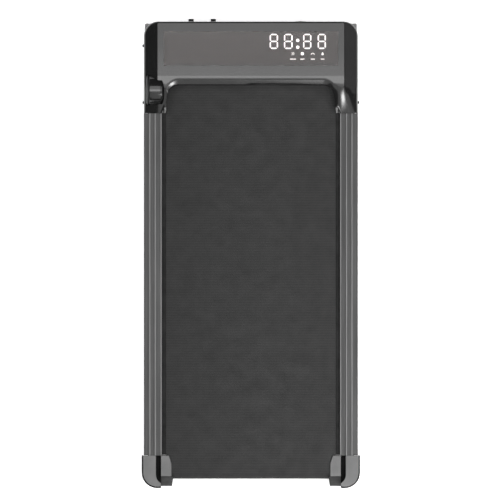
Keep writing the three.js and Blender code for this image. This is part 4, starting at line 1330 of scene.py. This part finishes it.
def far_box(name, azimuth, from_vertical, distance, size, radiance):
    """Lamp at an angle from the vertical; the azimuth turns from the rear towards the right."""
    turn, tilt = math.radians(azimuth), math.radians(from_vertical)
    direction = Vector((math.sin(turn) * math.sin(tilt), -math.cos(turn) * math.sin(tilt), math.cos(tilt)))
    softbox(name, HOOD_PLACE + direction * distance, HOOD_PLACE, size, radiance)


def build_studio():
    scene = bpy.context.scene
    bpy.ops.mesh.primitive_plane_add(size=60.0, location=(0.0, 0.0, 0.0))
    floor = bpy.context.object
    floor.name = "studio_floor"
    floor.data.materials.append(floor_white())

    camera = bpy.data.cameras.new("camera")
    camera.lens = CAMERA_LENS
    camera.sensor_width = 36.0
    camera.clip_end = 200.0
    camera_object = bpy.data.objects.new("camera", camera)
    camera_object.location = (*CAMERA_AIM, CAMERA_HEIGHT)
    scene.collection.objects.link(camera_object)
    scene.camera = camera_object
    scene.world = studio_world()
    scene.view_settings.view_transform = "Standard"

    overhead_box("overhead", 45.0, -12.0, 25.0, 2.05, BOX_HEIGHT)
    overhead_box("overhead_core", 45.0, -12.0, -0.4, 2.6, BOX_HEIGHT - 0.1)
    overhead_box("overhead_edge", 45.0, -21.0, -12.0, 1.6, BOX_HEIGHT - 0.2)
    far_box("rear_lamp", 23.0, 46.0, 2.4, (0.50, 0.46), 11.0)
    far_box("rear_glow", 23.0, 46.0, 2.5, (0.84, 0.78), 4.5)
    far_box("rear_halo", 23.0, 46.0, 2.6, (1.3, 1.2), 1.5)
    far_box("rear_fill", 20.0, 46.0, 4.0, (4.4, 3.8), 0.85)
    far_box("right_fill", 90.0, 73.0, 5.0, (2.0, 1.2), 0.4)


def studio_world():
    """Dim sky over a brighter lower half, which lights the underside."""
    world = bpy.data.worlds.new("studio")
    world.use_nodes = True
    nodes, links = world.node_tree.nodes, world.node_tree.links
    coordinates = nodes.new("ShaderNodeTexCoord")
    split = nodes.new("ShaderNodeSeparateXYZ")
    strength = nodes.new("ShaderNodeMapRange")
    strength.inputs["From Min"].default_value = -0.05
    strength.inputs["From Max"].default_value = 0.05
    strength.inputs["To Min"].default_value = 0.8
    strength.inputs["To Max"].default_value = 0.07
    links.new(coordinates.outputs["Generated"], split.inputs["Vector"])
    links.new(split.outputs["Z"], strength.inputs["Value"])
    nodes["Background"].inputs["Color"].default_value = (1.0, 1.0, 1.0, 1.0)
    links.new(strength.outputs["Result"], nodes["Background"].inputs["Strength"])
    return world


def softbox(name, place, aim, size, radiance):
    """Rectangular lamp of a given radiance, facing aim."""
    light = bpy.data.lights.new(name, "AREA")
    light.shape = "RECTANGLE"
    light.size, light.size_y = size
    light.energy = radiance * math.pi * size[0] * size[1]
    obj = bpy.data.objects.new(name, light)
    obj.location = place
    direction = Vector(aim) - Vector(place)
    obj.rotation_mode = "QUATERNION"
    obj.rotation_quaternion = direction.to_track_quat("-Z", "Y")
    obj.visible_camera = False
    bpy.context.scene.collection.objects.link(obj)


build_studio()
dress_cad_nodes()
build_hood()
build_display()
build_display_board()
build_belt()
build_rails()
build_end_caps()
build_control_roller()
build_buttons()
build_rocker()
build_power_inlet()
build_side_screws()
build_wheels()
build_feet()
build_rollers()
build_belly_pan()
